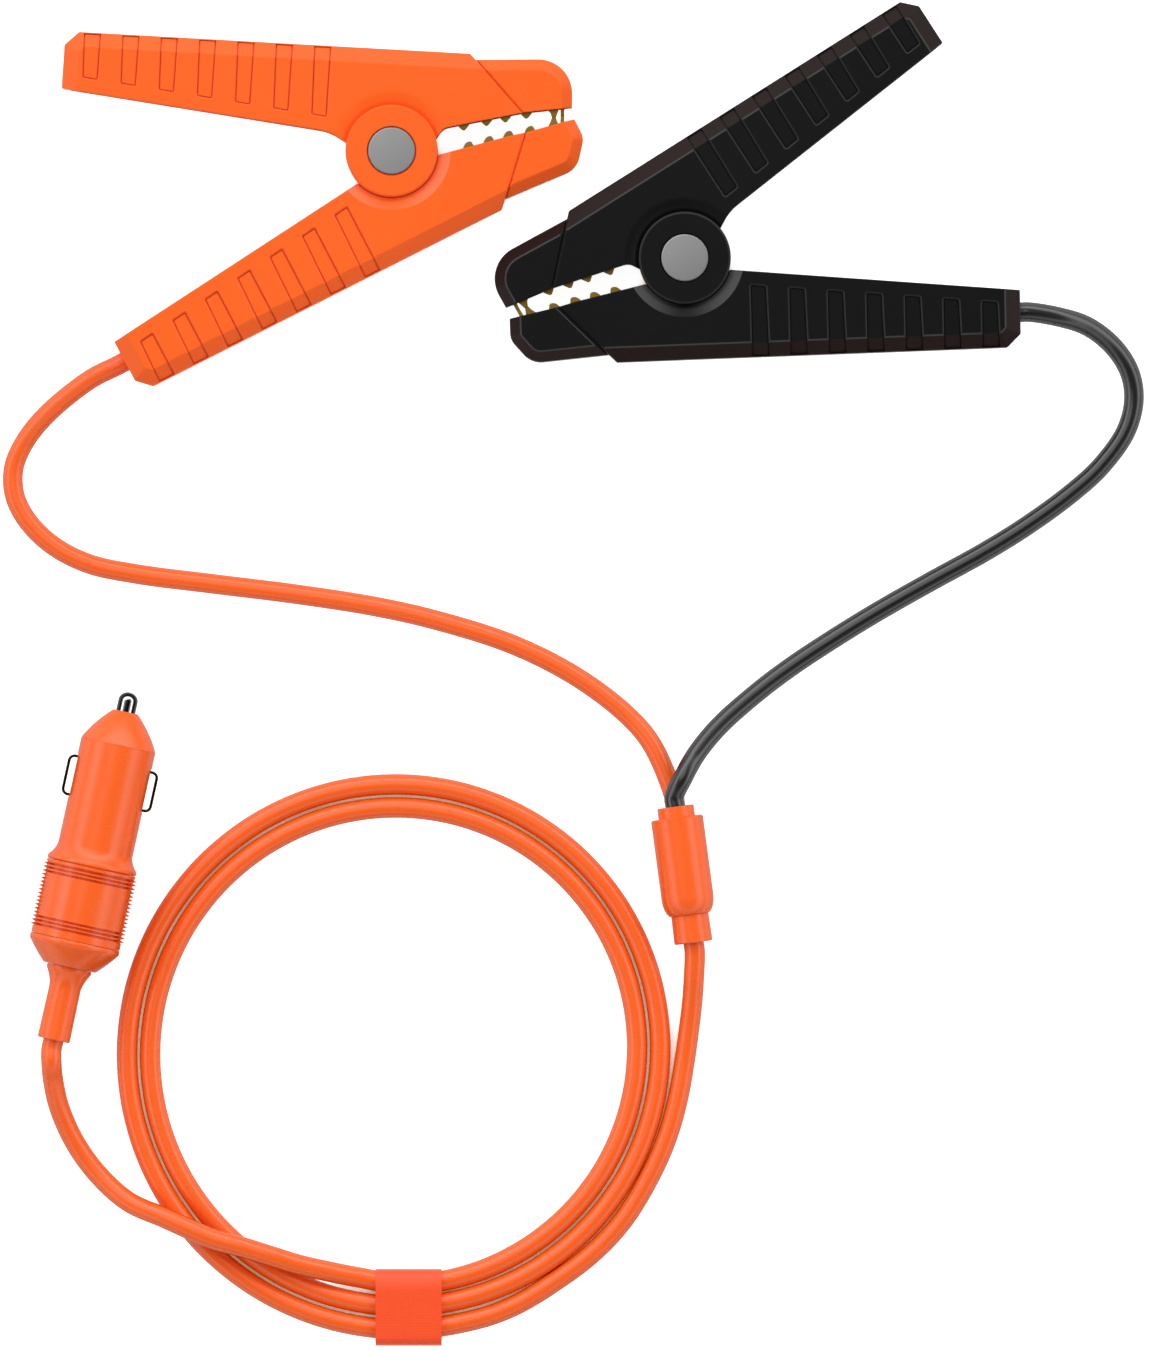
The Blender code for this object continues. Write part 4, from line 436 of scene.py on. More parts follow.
metalFinishes = {
    "platedPin": {
        "colour": (0.40, 0.40, 0.405), "Roughness": 0.42, "Spread": 0.06,
        "Line Scale": 1400.0, "Tarnish": 0.06, "lines": 0.002,
    },
    "springWire": {
        "colour": (0.42, 0.42, 0.43), "Roughness": 0.3, "Spread": 0.10,
        "Line Scale": 1100.0, "Tarnish": 0.10, "lines": 0.003,
    },
    "jawBrass": {
        "colour": (0.44, 0.28, 0.05), "Roughness": 0.36, "Spread": 0.16,
        "Line Scale": 1000.0, "Tarnish": 0.35, "lines": 0.004,
    },
    "bareCopper": {
        "colour": (0.60, 0.25, 0.12), "Roughness": 0.35, "Spread": 0.12,
        "Line Scale": 1800.0, "Tarnish": 0.15, "lines": 0.004,
    },
}


def makeMetal(name):
    finish = dict(metalFinishes[name])
    colour = finish.pop("colour")
    lines = finish.pop("lines")
    material, tree, shader = newMaterial(name)
    group = placeGroup(tree, brushed, finish)
    link(tree, scaledColour(tree, colour, group.outputs["Shade"]), shader.inputs["Base Color"])
    link(tree, group.outputs["Roughness"], shader.inputs["Roughness"])
    shader.inputs["Metallic"].default_value = 1.0
    bumpFrom(tree, group.outputs["Height"], lines * mm, shader)
    return material


# bright and dark are the levels of a painted reflection in the contacts' colour
polishedContact = {"bright": 0.90, "dark": 0.02, "roughness": 0.14, "spread": 0.05}


def makePolished(name):  # polished nickel with a painted reflection: a bright streak painted between dark ones, by how far a face turns away
    material, tree, shader = newMaterial(name)
    place = tree.nodes.new("ShaderNodeTexCoord").outputs["Object"]
    turn = tree.nodes.new("ShaderNodeLayerWeight")
    turn.inputs["Blend"].default_value = 0.5
    bright, dark = polishedContact["bright"], polishedContact["dark"]
    shade = ramp(tree, turn.outputs["Facing"], [
        (0.0, dark), (0.018, dark), (0.035, bright), (0.11, bright), (0.16, dark), (1.0, dark),
    ])
    link(tree, shade, shader.inputs["Base Color"])
    marks = noiseNode(tree, place, 400.0, 3.0, 0.6)
    spread = shifted(tree, marks, polishedContact["spread"])
    link(tree, mathNode(tree, "ADD", polishedContact["roughness"], spread), shader.inputs["Roughness"])
    shader.inputs["Metallic"].default_value = 1.0
    return material


strapWeave = {
    "colour": (1.0, 0.082, 0.010),
    "threads": 1150.0,  # the higher, the finer
    "ribs": 820.0,
    "waver": 0.6,
    "drift": 0.10,
    "roughness": 0.45,
    "spread": 0.15,
    "height": 0.03,
    "sheen": 0.02,
    "specular": 0.5,
}


def makeStrapFabric():
    material, tree, shader = newMaterial("strapFabric")
    place = tree.nodes.new("ShaderNodeTexCoord").outputs["Object"]
    bands = []
    for direction, scale in (("X", strapWeave["threads"]), ("Y", strapWeave["ribs"])):
        wave = tree.nodes.new("ShaderNodeTexWave")
        wave.bands_direction = direction
        wave.inputs["Scale"].default_value = scale / 2
        wave.inputs["Distortion"].default_value = strapWeave["waver"]
        link(tree, place, wave.inputs["Vector"])
        bands.append(wave.outputs["Fac"])
    weave = mathNode(tree, "MULTIPLY", *bands)
    fuzz = noiseNode(tree, place, 900.0, 3.0, 0.6)
    broad = noiseNode(tree, place, 60.0, 2.0)
    shade = 1.0
    for pattern in (fuzz, weave, broad):
        shade = mathNode(tree, "ADD", shade, shifted(tree, pattern, strapWeave["drift"]))
    link(tree, scaledColour(tree, strapWeave["colour"], shade), shader.inputs["Base Color"])
    level = mathNode(tree, "ADD", strapWeave["roughness"], shifted(tree, fuzz, strapWeave["spread"]))
    link(tree, level, shader.inputs["Roughness"])
    shader.inputs["Sheen Weight"].default_value = strapWeave["sheen"]
    shader.inputs["Specular IOR Level"].default_value = strapWeave["specular"]
    bumpFrom(tree, weave, strapWeave["height"] * mm, shader)
    return material


def makeFuseGlass():
    material, _, shader = newMaterial("fuseGlass")
    shader.inputs["Base Color"].default_value = (0.85, 0.92, 0.92, 1)
    shader.inputs["Roughness"].default_value = 0.05
    shader.inputs["Transmission Weight"].default_value = 1.0
    shader.inputs["IOR"].default_value = 1.5
    return material


finishes = {name: makePlastic(name) for name in plasticFinishes}
finishes.update({name: makeMetal(name) for name in metalFinishes})
finishes["fuseGlass"] = makeFuseGlass()
finishes["strapFabric"] = makeStrapFabric()
finishes["contactPaintedReflection"] = makePolished("contactPaintedReflection")
print("finishes made:", len(finishes))

# Cords

cordSetup = {
    "mainDiameter": 5.8,
    "leadDiameter": 5.6,
    "floorGap": 0.05,
    "smoothness": 12,  # steps between two points of a cord
    "exitGap": 0.03,
    "exitRun": 2.6,  # straight length at each end
}
coilSetup = {
    "radius": 78.0, "pitch": 6.5, "turns": 2, "start": -88.1, "points": 24,
    "lift": 1.05, "spread": 24.0,
    "squeeze": 0.45,  # how much closer the strap holds the inner strand
}
splitterSetup = {"length": 38.5, "leadOffset": 2.9}
clampExit = {
    "first": (-77.6, -53.4),  # the two corners of the lower handle's end
    "second": (-71.8, -64.3),
    "depth": 6.6,  # how far the lead's hole is cut on both sides of it
}

orangeLeadRoute = [
    (-121.5, 82.2, 9.6), (-133.2, 73.0, 5.2), (-139.8, 65.2, 1.8), (-143.2, 57.6, 0.3),
    (-143.1, 50.1, 0.0), (-139.7, 42.9, 0.0), (-132.3, 35.6, 0.0), (-122.3, 30.5, 0.0),
    (-109.4, 27.7, 0.0), (-87.0, 24.8, 0.0), (-64.5, 22.0, 0.0), (-42.0, 18.5, 0.0),
    (-24.7, 14.6, 0.0), (-3.1, 7.7, 0.0), (14.9, -1.5, 0.0), (29.1, -12.4, 0.2), (35.8, -20.6, 0.9),
]
blackLeadRoute = [
    (149.2, 99.6, 9.9), (157.6, 96.9, 6.5), (165.0, 91.1, 2.9), (169.5, 83.9, 0.7),
    (170.6, 76.2, 0.0), (168.3, 67.5, 0.0), (161.3, 57.7, 0.0), (153.3, 50.4, 0.0),
    (141.3, 41.6, 0.0), (129.3, 34.1, 0.0), (113.5, 25.4, 0.0), (97.5, 16.3, 0.0),
    (82.9, 7.2, 0.0), (74.4, 1.5, 0.3), (66.0, -4.8, 1.5), (54.6, -14.8, 4.2),
    (48.0, -22.8, 6.6), (44.2, -29.6, 8.8),
]
mainCordRoute = [
    (47.3, -85.4, 3.6), (46.9, -91.6, 2.0), (46.1, -98.8, 0.7), (44.7, -109.0, 0.0),
    (42.9, -119.1, 0.0), (40.1, -129.3, 0.0), (36.0, -139.1, 0.0), (27.9, -152.9, 0.0),
    (19.2, -162.4, 0.0), (8.8, -170.3, 0.0), (-3.0, -177.4, 0.1), (-13.9, -181.3, 0.5),
]
plugCordRoute = [
    (-47.0, -169.4, 1.6), (-55.0, -167.8, 3.4), (-63.3, -165.9, 5.0), (-71.3, -163.4, 6.2),
    (-79.3, -160.9, 6.5), (-87.0, -158.8, 6.5), (-93.5, -156.1, 6.4), (-100.8, -152.8, 5.6),
    (-111.0, -148.3, 3.2), (-119.4, -140.9, 1.2), (-125.8, -132.2, 1.4), (-130.3, -122.3, 4.0),
    (-132.1, -114.4, 7.2), (-132.6, -108.6, 10.3),
]


def cordCurve(name, route, diameter, finish):  # one smooth curve through the points of its route
    data = bpy.data.curves.new(name, "CURVE")
    data.dimensions = "3D"
    data.resolution_u = cordSetup["smoothness"]
    data.bevel_depth = diameter * mm / 2
    data.bevel_resolution = 7
    data.use_fill_caps = True
    padded = [2 * route[0] - route[1], *route, 2 * route[-1] - route[-2]]
    spline = data.splines.new("BEZIER")
    spline.bezier_points.add(len(route) - 1)
    for point, before, here, after in zip(spline.bezier_points, padded, padded[1:], padded[2:]):
        first, last = math.sqrt((here - before).length), math.sqrt((after - here).length)
        pull = (here - before) / first - (after - before) / (first + last) + (after - here) / last
        point.handle_left_type = point.handle_right_type = "FREE"
        point.co = here * mm
        point.handle_left = (here - pull * first / 3) * mm
        point.handle_right = (here + pull * last / 3) * mm
    print(f"{name}: {spline.calc_length() / mm:.1f} mm")
    data.materials.append(finish)
    cord = bpy.data.objects.new(name, data)
    bpy.context.collection.objects.link(cord)
    return cord


def lifted(route, floor):
    return [Vector((x, y, floor + z)) for x, y, z in route]


def exitPoints(pieceFrame, at, way):  # the first two points of a cord, straight out of its exit
    start = pieceFrame @ Vector(at)
    direction = (pieceFrame.to_3x3() @ Vector(way)).normalized()
    gap = cordSetup["exitGap"]
    return [start + direction * gap, start + direction * (gap + cordSetup["exitRun"])]


def coilPoints():
    floor = cordSetup["mainDiameter"] / 2 + cordSetup["floorGap"]
    points = []
    count = coilSetup["turns"] * coilSetup["points"]
    for step in range(count + 1):
        turn = step / coilSetup["points"]
        angle = math.radians(coilSetup["start"]) - 2 * math.pi * turn
        fromStrap = ((turn + 0.5) % 1 - 0.5) * 360
        held = math.exp(-((fromStrap / coilSetup["spread"]) ** 2))
        lift = coilSetup["lift"] * held
        radius = coilSetup["radius"] - coilSetup["pitch"] * turn
        if turn > coilSetup["turns"] - 0.5:
            radius += coilSetup["squeeze"] * held
        x, y = layout["coilCentre"]
        points.append(Vector((x + radius * math.cos(angle), y + radius * math.sin(angle), floor + lift)))
    return points


def clampExitLine():  # the middle of the lower handle's end, and the way out of it
    first, second = Vector(clampExit["first"]), Vector(clampExit["second"])
    along = (second - first).normalized()
    return ((first + second) / 2).to_3d(), Vector((along.y, -along.x, 0))


def makeLead(name, clampFrame, route, side, finish, node):
    diameter = cordSetup["leadDiameter"]
    start = exitPoints(clampFrame, *clampExitLine())
    collar = (0, side * splitterSetup["leadOffset"], splitterSetup["length"])
    end = exitPoints(splitterFrame, collar, (0, 0, 1))
    points = start + lifted(route, diameter / 2 + cordSetup["floorGap"]) + end[::-1]
    lead = cordCurve(name, points, diameter, finishes[finish])
    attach(lead, "cable_set")
    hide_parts(node)


def makeMainCord():
    diameter = cordSetup["mainDiameter"]
    floor = diameter / 2 + cordSetup["floorGap"]
    coil = coilPoints()
    route = exitPoints(splitterFrame, (0, 0, 0), (0, 0, -1))
    route += lifted(mainCordRoute, floor) + coil + lifted(plugCordRoute, floor)
    route += exitPoints(plugFrame, (0, 0, 0), (0, 0, -1))[::-1]
    cord = cordCurve("orangeMainCord", route, diameter, finishes["orangeJacket"])
    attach(cord, "cable_set")
    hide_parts("main_cord", "cord_coil", "plug_cord")


makeLead("orangeLead", orangeFrame, orangeLeadRoute, 1, "orangeJacket", "orange_lead")
makeLead("blackLead", blackFrame, blackLeadRoute, -1, "blackJacket", "black_lead")
makeMainCord()
print("cords laid")

# Shaping: pieces are drawn in mm in their own frame, then carried into the layout


# An outline is a list of corners (x, y, kind of the edge that starts there), and runs anticlockwise.
# For a slab without chamfers, points (x, y) are enough.


def insetOutline(corners, widths):  # moves each edge inwards by its width, or all by one width
    if isinstance(widths, float):
        widths = [widths] * len(corners)
    inset = []
    for i, (x, y, kind) in enumerate(corners):
        here = Vector((x, y))
        back = (here - Vector(corners[i - 1][:2])).normalized()
        ahead = (Vector(corners[(i + 1) % len(corners)][:2]) - here).normalized()
        backNormal = Vector((-back.y, back.x))
        aheadNormal = Vector((-ahead.y, ahead.x))
        bend = back.cross(ahead)
        if abs(bend) < 0.02:  # nearly straight
            at = here + aheadNormal * widths[i]
        else:
            along = (backNormal * widths[i - 1] - aheadNormal * widths[i]).dot(aheadNormal)
            at = here + backNormal * widths[i - 1] + back * (along / bend)
        inset.append((at.x, at.y, kind))
    return inset


def roundOutline(corners, radii, steps=8):  # radii are given by the corner's number
    points = []
    for i, (x, y, kind) in enumerate(corners):
        here = Vector((x, y))
        if i not in radii:
            points.append((x, y, kind))
            continue
        back = (Vector(corners[i - 1][:2]) - here).normalized()
        ahead = (Vector(corners[(i + 1) % len(corners)][:2]) - here).normalized()
        half = math.acos(back.dot(ahead)) / 2
        centre = here + (back + ahead).normalized() * (radii[i] / math.sin(half))
        spoke = here + back * (radii[i] / math.tan(half)) - centre
        sweep = math.copysign(math.pi - 2 * half, ahead.cross(back))
        for step in range(steps + 1):
            turned = spoke.copy()
            turned.rotate(Matrix.Rotation(sweep * step / steps, 2))
            at = centre + turned
            points.append((at.x, at.y, kind if step == steps else corners[i - 1][2]))
    return points


def newPiece(name, bm):
    bmesh.ops.recalc_face_normals(bm, faces=bm.faces)
    mesh = bpy.data.meshes.new(name)
    bm.to_mesh(mesh)
    bm.free()
    piece = bpy.data.objects.new(name, mesh)
    bpy.context.collection.objects.link(piece)
    return piece


def sharpEdges(bm, least):
    return [e for e in bm.edges if len(e.link_faces) == 2 and e.calc_face_angle() > math.radians(least)]


def bevelEdges(bm, edges, width, segments=2, clamp=True):
    bmesh.ops.bevel(
        bm, geom=edges, offset=width, offset_type="OFFSET", segments=segments, profile=0.5,
        affect="EDGES", clamp_overlap=clamp, material=-1,
    )


def alongEdge(edge, start, end):  # whether a level edge runs on the line from start to end
    span = (end - start).normalized()
    return all(abs((v.co.to_2d() - start).cross(span)) < 1e-3 for v in edge.verts)


def isLevel(edge, heights):
    return any(all(abs(v.co.z - z) < 1e-4 for v in edge.verts) for z in heights)


def moveGrown(bm, grown, offset):  # moves what an extrusion has made
    bmesh.ops.translate(bm, vec=offset, verts=[v for v in grown if isinstance(v, bmesh.types.BMVert)])


def slab(outline, low, high, chamfers=None, rounding=0.0):  # chamfers are {kinds of edge: (width, depth)}
    bm = bmesh.new()
    base = bm.faces.new([bm.verts.new((x, y, low)) for x, y, *_ in outline])
    moveGrown(bm, bmesh.ops.extrude_face_region(bm, geom=[base])["geom"], (0, 0, high - low))
    bmesh.ops.recalc_face_normals(bm, faces=bm.faces)
    sides = list(zip(outline, outline[1:] + outline[:1]))
    for kinds, (width, depth) in (chamfers or {}).items():
        lines = [(Vector(a[:2]), Vector(b[:2])) for a, b in sides if a[2] in kinds]
        stretch = width / depth
        level = [e for e in bm.edges if isLevel(e, (low, high))]
        edges = [e for e in level if any(alongEdge(e, *line) for line in lines)]
        bmesh.ops.scale(bm, vec=(1, 1, stretch), verts=bm.verts)
        bevelEdges(bm, edges, width, 1, clamp=False)
        bmesh.ops.scale(bm, vec=(1, 1, 1 / stretch), verts=bm.verts)
    if rounding:
        bevelEdges(bm, sharpEdges(bm, 22), rounding)
    return newPiece("slab", bm)


def flared(lower, low, upper, high):  # a plate whose top outline differs from its foot's
    bm = bmesh.new()
    rings = []
    for outline, z in ((lower, low), (upper, high)):
        rings.append([bm.verts.new((x, y, z)) for x, y, *_ in outline])
    loops = [[bm.edges.new(pair) for pair in zip(ring, ring[1:] + ring[:1])] for ring in rings]
    bmesh.ops.bridge_loops(bm, edges=loops[0] + loops[1])
    for ring in rings:
        bm.faces.new(ring)
    return newPiece("flared", bm)


def turnedPiece(profile, segments=96, rounding=0.0):  # (radius, z) points, spun round Z
    bm = bmesh.new()
    verts = [bm.verts.new((radius, 0, z)) for radius, z in profile]
    edges = [bm.edges.new(pair) for pair in zip(verts, verts[1:])]
    if profile[0][0] > 0 and profile[-1][0] > 0:
        edges.append(bm.edges.new((verts[-1], verts[0])))
    bmesh.ops.spin(
        bm, geom=verts + edges, cent=(0, 0, 0), axis=(0, 0, 1), dvec=(0, 0, 0), angle=2 * math.pi,
        steps=segments, use_merge=True,
    )
    bmesh.ops.remove_doubles(bm, verts=bm.verts, dist=1e-4)
    bmesh.ops.recalc_face_normals(bm, faces=bm.faces)
    if rounding:
        bevelEdges(bm, sharpEdges(bm, 22), rounding)
    return newPiece("turned", bm)


def disc(radius, low, high, segments=96):
    bm = bmesh.new()
    bmesh.ops.create_cone(
        bm, cap_ends=True, segments=segments, radius1=radius, radius2=radius, depth=high - low,
        matrix=Matrix.Translation((0, 0, (low + high) / 2)),
    )
    return newPiece("disc", bm)


def carried(piece, matrix):
    piece.data.transform(matrix)
    if matrix.is_negative:
        piece.data.flip_normals()
    return piece


def copyOf(piece):
    copy = bpy.data.objects.new(piece.name, piece.data.copy())
    bpy.context.collection.objects.link(copy)
    return copy


def together(*pieces):  # several separate bodies in one mesh
    bm = bmesh.new()
    for piece in pieces:
        bm.from_mesh(piece.data)
        bpy.data.objects.remove(piece)
    return newPiece("together", bm)


def bothSides(piece):  # the piece and its mirror image across the clamp's middle plane
    return together(piece, carried(copyOf(piece), Matrix.Scale(-1, 4, (0, 0, 1))))


def carve(piece, tool, operation="DIFFERENCE"):
    modifier = piece.modifiers.new("carve", "BOOLEAN")
    modifier.operation = operation
    modifier.solver = "EXACT"
    modifier.object = tool
    bpy.context.view_layer.update()
    shaped = piece.evaluated_get(bpy.context.evaluated_depsgraph_get())
    mesh = bpy.data.meshes.new_from_object(shaped)
    piece.modifiers.remove(modifier)
    piece.data = mesh
    bpy.data.objects.remove(tool)
    bm = bmesh.new()
    bm.from_mesh(mesh)
    bmesh.ops.remove_doubles(bm, verts=bm.verts, dist=5e-4)
    bmesh.ops.dissolve_degenerate(bm, edges=bm.edges, dist=5e-4)
    bm.to_mesh(mesh)
    bm.free()
    return piece


def soften(piece, least, width):  # chamfers the edges that bend more than least
    bm = bmesh.new()
    bm.from_mesh(piece.data)
    bevelEdges(bm, sharpEdges(bm, least), width, 1)
    bm.to_mesh(piece.data)
    bm.free()
    return piece


def mendMesh(piece, slit=1e-3):  # closes the slits that bevels leave, and drops lone faces left by carving
    bm = bmesh.new()
    bm.from_mesh(piece.data)
    bmesh.ops.remove_doubles(bm, verts=bm.verts, dist=slit)
    lone = [face for face in bm.faces if all(edge.is_boundary for edge in face.edges)]
    bmesh.ops.delete(bm, geom=lone, context="FACES")
    bm.to_mesh(piece.data)
    bm.free()
    return piece


def dress(piece, name, pieceFrame, finish, body, node, angle=32):  # edges over angle stay sharp
    piece.name = piece.data.name = name
    carried(piece, toMetres @ pieceFrame)
    piece.data.materials.clear()
    piece.data.materials.append(finishes[finish])
    piece.data.shade_smooth()
    piece.data.set_sharp_from_angle(angle=math.radians(angle))
    weighted = piece.modifiers.new("evenShading", "WEIGHTED_NORMAL")
    weighted.keep_sharp = True
    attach(piece, body)
    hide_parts(node)


# Clamps: the pivot is at (0, 0) and the clamp's middle plane at z = 0

clampSetup = {
    "face": 13.6,  # from the middle plane to a handle's flat side
    "earFace": 14.0,
    "wall": 2.2,
    "chamfer": (4.2, 3.0),  # width and depth
    "edge": 0.3,  # rounding of the mouldings' edges
    "seamEdge": (0.45, 0.30),
    "ear": 12.9,
    "earEdge": (0.55, 0.36),
    "dip": 17.2,  # radius of the shallow dip round the upper handle's ear
    "dipDepth": 1.4,
    "pocket": 16.6,
    "pocketDepth": 1.5,
    "innerEar": 12.4,
    "innerEarDepth": 2.2,
    "noseWall": 1.8,
    "noseChamfer": (3.0, 3.0),
    "seam": 0.45,  # how far the nose's lowered step reaches under the seam line
    "seamDepth": 0.9,
    "stepInset": 0.02,  # keeps the step's sides off the nose's own
}
gripSetup = {
    "count": 7,
    "pitch": 10.75,
    "width": 4.8,
    "taper": 0.25,
    "margin": 3.9,  # from a recess's end to the open edge
    "lip": 0.3,  # left standing along the back edge
    "corner": 0.5,
    "trench": 0.34,  # the fine line round each recess's floor
    "floor": 0.45,
    "trenchDepth": 1.15,
    "rim": 0.42,  # the small slope round each recess
    "rimDepth": 0.27,
    "past": 0.1,  # how far the cutters of the rims stand past them
    "upperStart": 1.4,
    "lowerStart": 2.1,
}
upperHandleOutline = [
    (-92.3, 17.5, "grip"), (-17.5, 5.4, "fillet"), (-12.6, 2.3, "ear"), (12.4, 3.4, "jaw"),
    (14.4, 6.3, "jaw"), (18.1, 7.05, "jaw"), (26.7, 8.7, "jaw"), (36.5, 10.6, "seam"),
    (22.0, 27.2, "back"), (-87.4, 33.3, "end"), (-91.5, 29.7, "end"),
]
lowerHandleOutline = [
    (-9.5, -9.1, "grip"), (-77.6, -53.4, "end"), (-71.8, -64.3, "end"), (-66.7, -65.8, "back"),
    (30.8, -16.4, "seam"), (37.4, 5.1, "jaw"), (33.1, 4.2, "jaw"), (13.2, -1.1, "ear"),
]
upperNoseOutline = [
    (36.8, 10.7, "jaw"), (50.5, 12.1, "front"), (50.6, 25.7, "back"), (23.9, 25.5, "seam"),
]
lowerNoseOutline = [
    (32.15, -13.3, "back"), (51.8, -5.0, "front"), (53.8, 3.7, "front"), (51.1, 8.9, "jaw"),
    (37.78, 5.2, "seam"),
]
upperSeam = (upperHandleOutline[7][:2], upperHandleOutline[8][:2])
lowerSeam = (lowerHandleOutline[4][:2], lowerHandleOutline[5][:2])


def shellHollow(outline, wall, kinds, chamfer):  # open along the edges that have no wall
    closed = {"back", "end", "front"}
    walls = [wall if kind in closed else -0.5 * wall for *_, kind in outline]
    inner = clampSetup["face"] - wall
    width, depth = chamfer
    return slab(insetOutline(outline, walls), -inner, inner, {kinds: (width - 1.0, depth - 1.0)})


def gripTools(outline, back, grip, first):  # the recesses' full depth, and the floors that go back in them
    points = [Vector(corner[:2]) for corner in outline]
    start, end = points[back[0]], points[back[1]]
    gripStart, gripEnd = points[grip[0]], points[grip[1]]
    along = (end - start).normalized()
    inwards = Vector((-along.y, along.x))
    if (gripStart - start).dot(inwards) < 0:
        inwards.negate()
    span = gripEnd - gripStart
    deep, floors, rims = [], [], []
    face = clampSetup["face"]
    reach = 2 * face
    rim, slope, past = gripSetup["rim"], gripSetup["rimDepth"], gripSetup["past"]
    for i in range(gripSetup["count"]):
        near = start + along * (first + i * gripSetup["pitch"])
        far = near + along * gripSetup["width"]
        nearReach, farReach = (
            (gripStart - p).cross(span) / inwards.cross(span) - gripSetup["margin"] for p in (near, far)
        )
        lean = along * gripSetup["taper"]
        ring = [
            near + inwards * gripSetup["lip"], far + inwards * gripSetup["lip"],
            far + inwards * farReach - lean, near + inwards * nearReach + lean,
        ]
        if along.cross(inwards) < 0:
            ring = [ring[1], ring[0], ring[3], ring[2]]
        corners = [(p.x, p.y, "side") for p in ring]
        whole = roundOutline(corners, {2: gripSetup["corner"], 3: gripSetup["corner"]}, 12)
        deep.append(slab(whole, -reach, reach))
        floors.append(slab(insetOutline(whole, gripSetup["trench"]), -reach, reach))
        wider = insetOutline(whole, -rim - past)
        rims.append(flared(whole, face - slope, wider, face + past * slope / rim))
    return together(*deep), together(*floors), bothSides(together(*rims))


def lowered(outline, drop):  # the handle's chamfered shape with its faces this much lower
    face = clampSetup["face"] - drop
    return slab(insetOutline(outline, -0.05), -face, face, {("back", "end"): clampSetup["chamfer"]})


def handleBody(outline, back, grip, first):
    face = clampSetup["face"]
    chamfers = {("back", "end"): clampSetup["chamfer"], ("seam",): clampSetup["seamEdge"]}
    body = slab(outline, -face, face, chamfers, clampSetup["edge"])
    deep, floors, rims = gripTools(outline, back, grip, first)
    carve(body, rims)
    carve(deep, lowered(outline, gripSetup["trenchDepth"]))
    carve(floors, lowered(outline, gripSetup["floor"]), "INTERSECT")
    carve(body, deep)
    carve(body, floors, "UNION")
    return body


pinSetup = {
    "radius": 3.0,
    "headRadius": 6.6,
    "headPlay": 0.35,
    "head": 0.9,
    "proud": 0.15,  # how far the heads stand out of the ears
    "stubRadius": 1.5,
    "stub": 5.0,
    "edge": 0.4,
}
throughAll = 20.0  # from the middle plane to the ends of the tools that cut right through


def pinBore():  # the pin's hole, with a seat for its head in each ear
    seat = clampSetup["earFace"] + pinSetup["proud"] - pinSetup["head"] - fit
    wide, narrow = pinSetup["headRadius"] + pinSetup["headPlay"], pinSetup["radius"] + fit
    return turnedPiece([
        (0, -throughAll), (wide, -throughAll), (wide, -seat), (narrow, -seat),
        (narrow, seat), (wide, seat), (wide, throughAll), (0, throughAll),
    ])


def dipTool():  # cuts the shallow dip round the upper handle's ear
    face, ear = clampSetup["face"], clampSetup["ear"]
    dip, drop = clampSetup["dip"], clampSetup["dipDepth"]
    profile = [(0, face + 1), (dip, face + 1), (dip, face)]
    for step in range(1, 7):
        share = step / 6
        depth = drop * (1 - math.cos(share * math.pi / 2))
        profile.append((dip + (ear - 0.4 - dip) * share, face - depth))
    return turnedPiece(profile + [(0, face - drop)])


def makeUpperHandle():
    outline = roundOutline(upperHandleOutline, {1: 14.0, 4: 3.5})
    last = len(outline)
    body = handleBody(outline, (last - 2, last - 3), (0, 1), gripSetup["upperStart"])
    carve(body, bothSides(dipTool()))
    ear, earFace = clampSetup["ear"], clampSetup["earFace"]
    rim, rimDepth = clampSetup["earEdge"]
    earFoot = clampSetup["face"] - clampSetup["wall"] + 0.1
    earDisc = turnedPiece([
        (0, earFoot), (ear, earFoot), (ear, earFace - rimDepth), (ear - rim, earFace), (0, earFace),
    ], rounding=0.06)
    carve(body, bothSides(earDisc), "UNION")
    carve(body, shellHollow(upperHandleOutline, clampSetup["wall"], ("back", "end"), clampSetup["chamfer"]))
    carve(body, pinBore())
    return body


def makeLowerHandle():
    face, wall = clampSetup["face"], clampSetup["wall"]
    outline = lowerHandleOutline
    body = handleBody(outline, (3, 4), (1, 0), gripSetup["lowerStart"])
    carve(body, shellHollow(outline, wall, ("back", "end"), clampSetup["chamfer"]))
    earTop = face - wall - fit
    earFoot = earTop - clampSetup["innerEarDepth"]
    plate = disc(clampSetup["pocket"] + wall, earFoot + 0.1, face - wall * 0.6)
    carve(plate, slab(insetOutline(outline, 0.1), 0, throughAll), "INTERSECT")
    carve(body, bothSides(plate), "UNION")
    carve(body, bothSides(disc(clampSetup["innerEar"], earFoot, earTop + 0.1)), "UNION")
    clear = clampSetup["ear"] + fit
    rise, past = clampSetup["pocketDepth"], 2
    slope = (clampSetup["pocket"] - clear) / rise
    pocket = turnedPiece([
        (0, earTop), (clear, earTop), (clear, face - rise),
        (clear + slope * (rise + past), face + past), (0, face + past),
    ])
    carve(body, bothSides(pocket))
    carve(body, disc(pinSetup["radius"] + fit, -throughAll, throughAll, 48))
    middle, outwards = clampExitLine()
    hole = disc(cordSetup["leadDiameter"] / 2 + fit, -clampExit["depth"], clampExit["depth"], 48)
    turn = outwards.to_track_quat("Z", "Y").to_matrix().to_4x4()
    carve(body, carried(hole, Matrix.Translation(middle) @ turn))
    return body


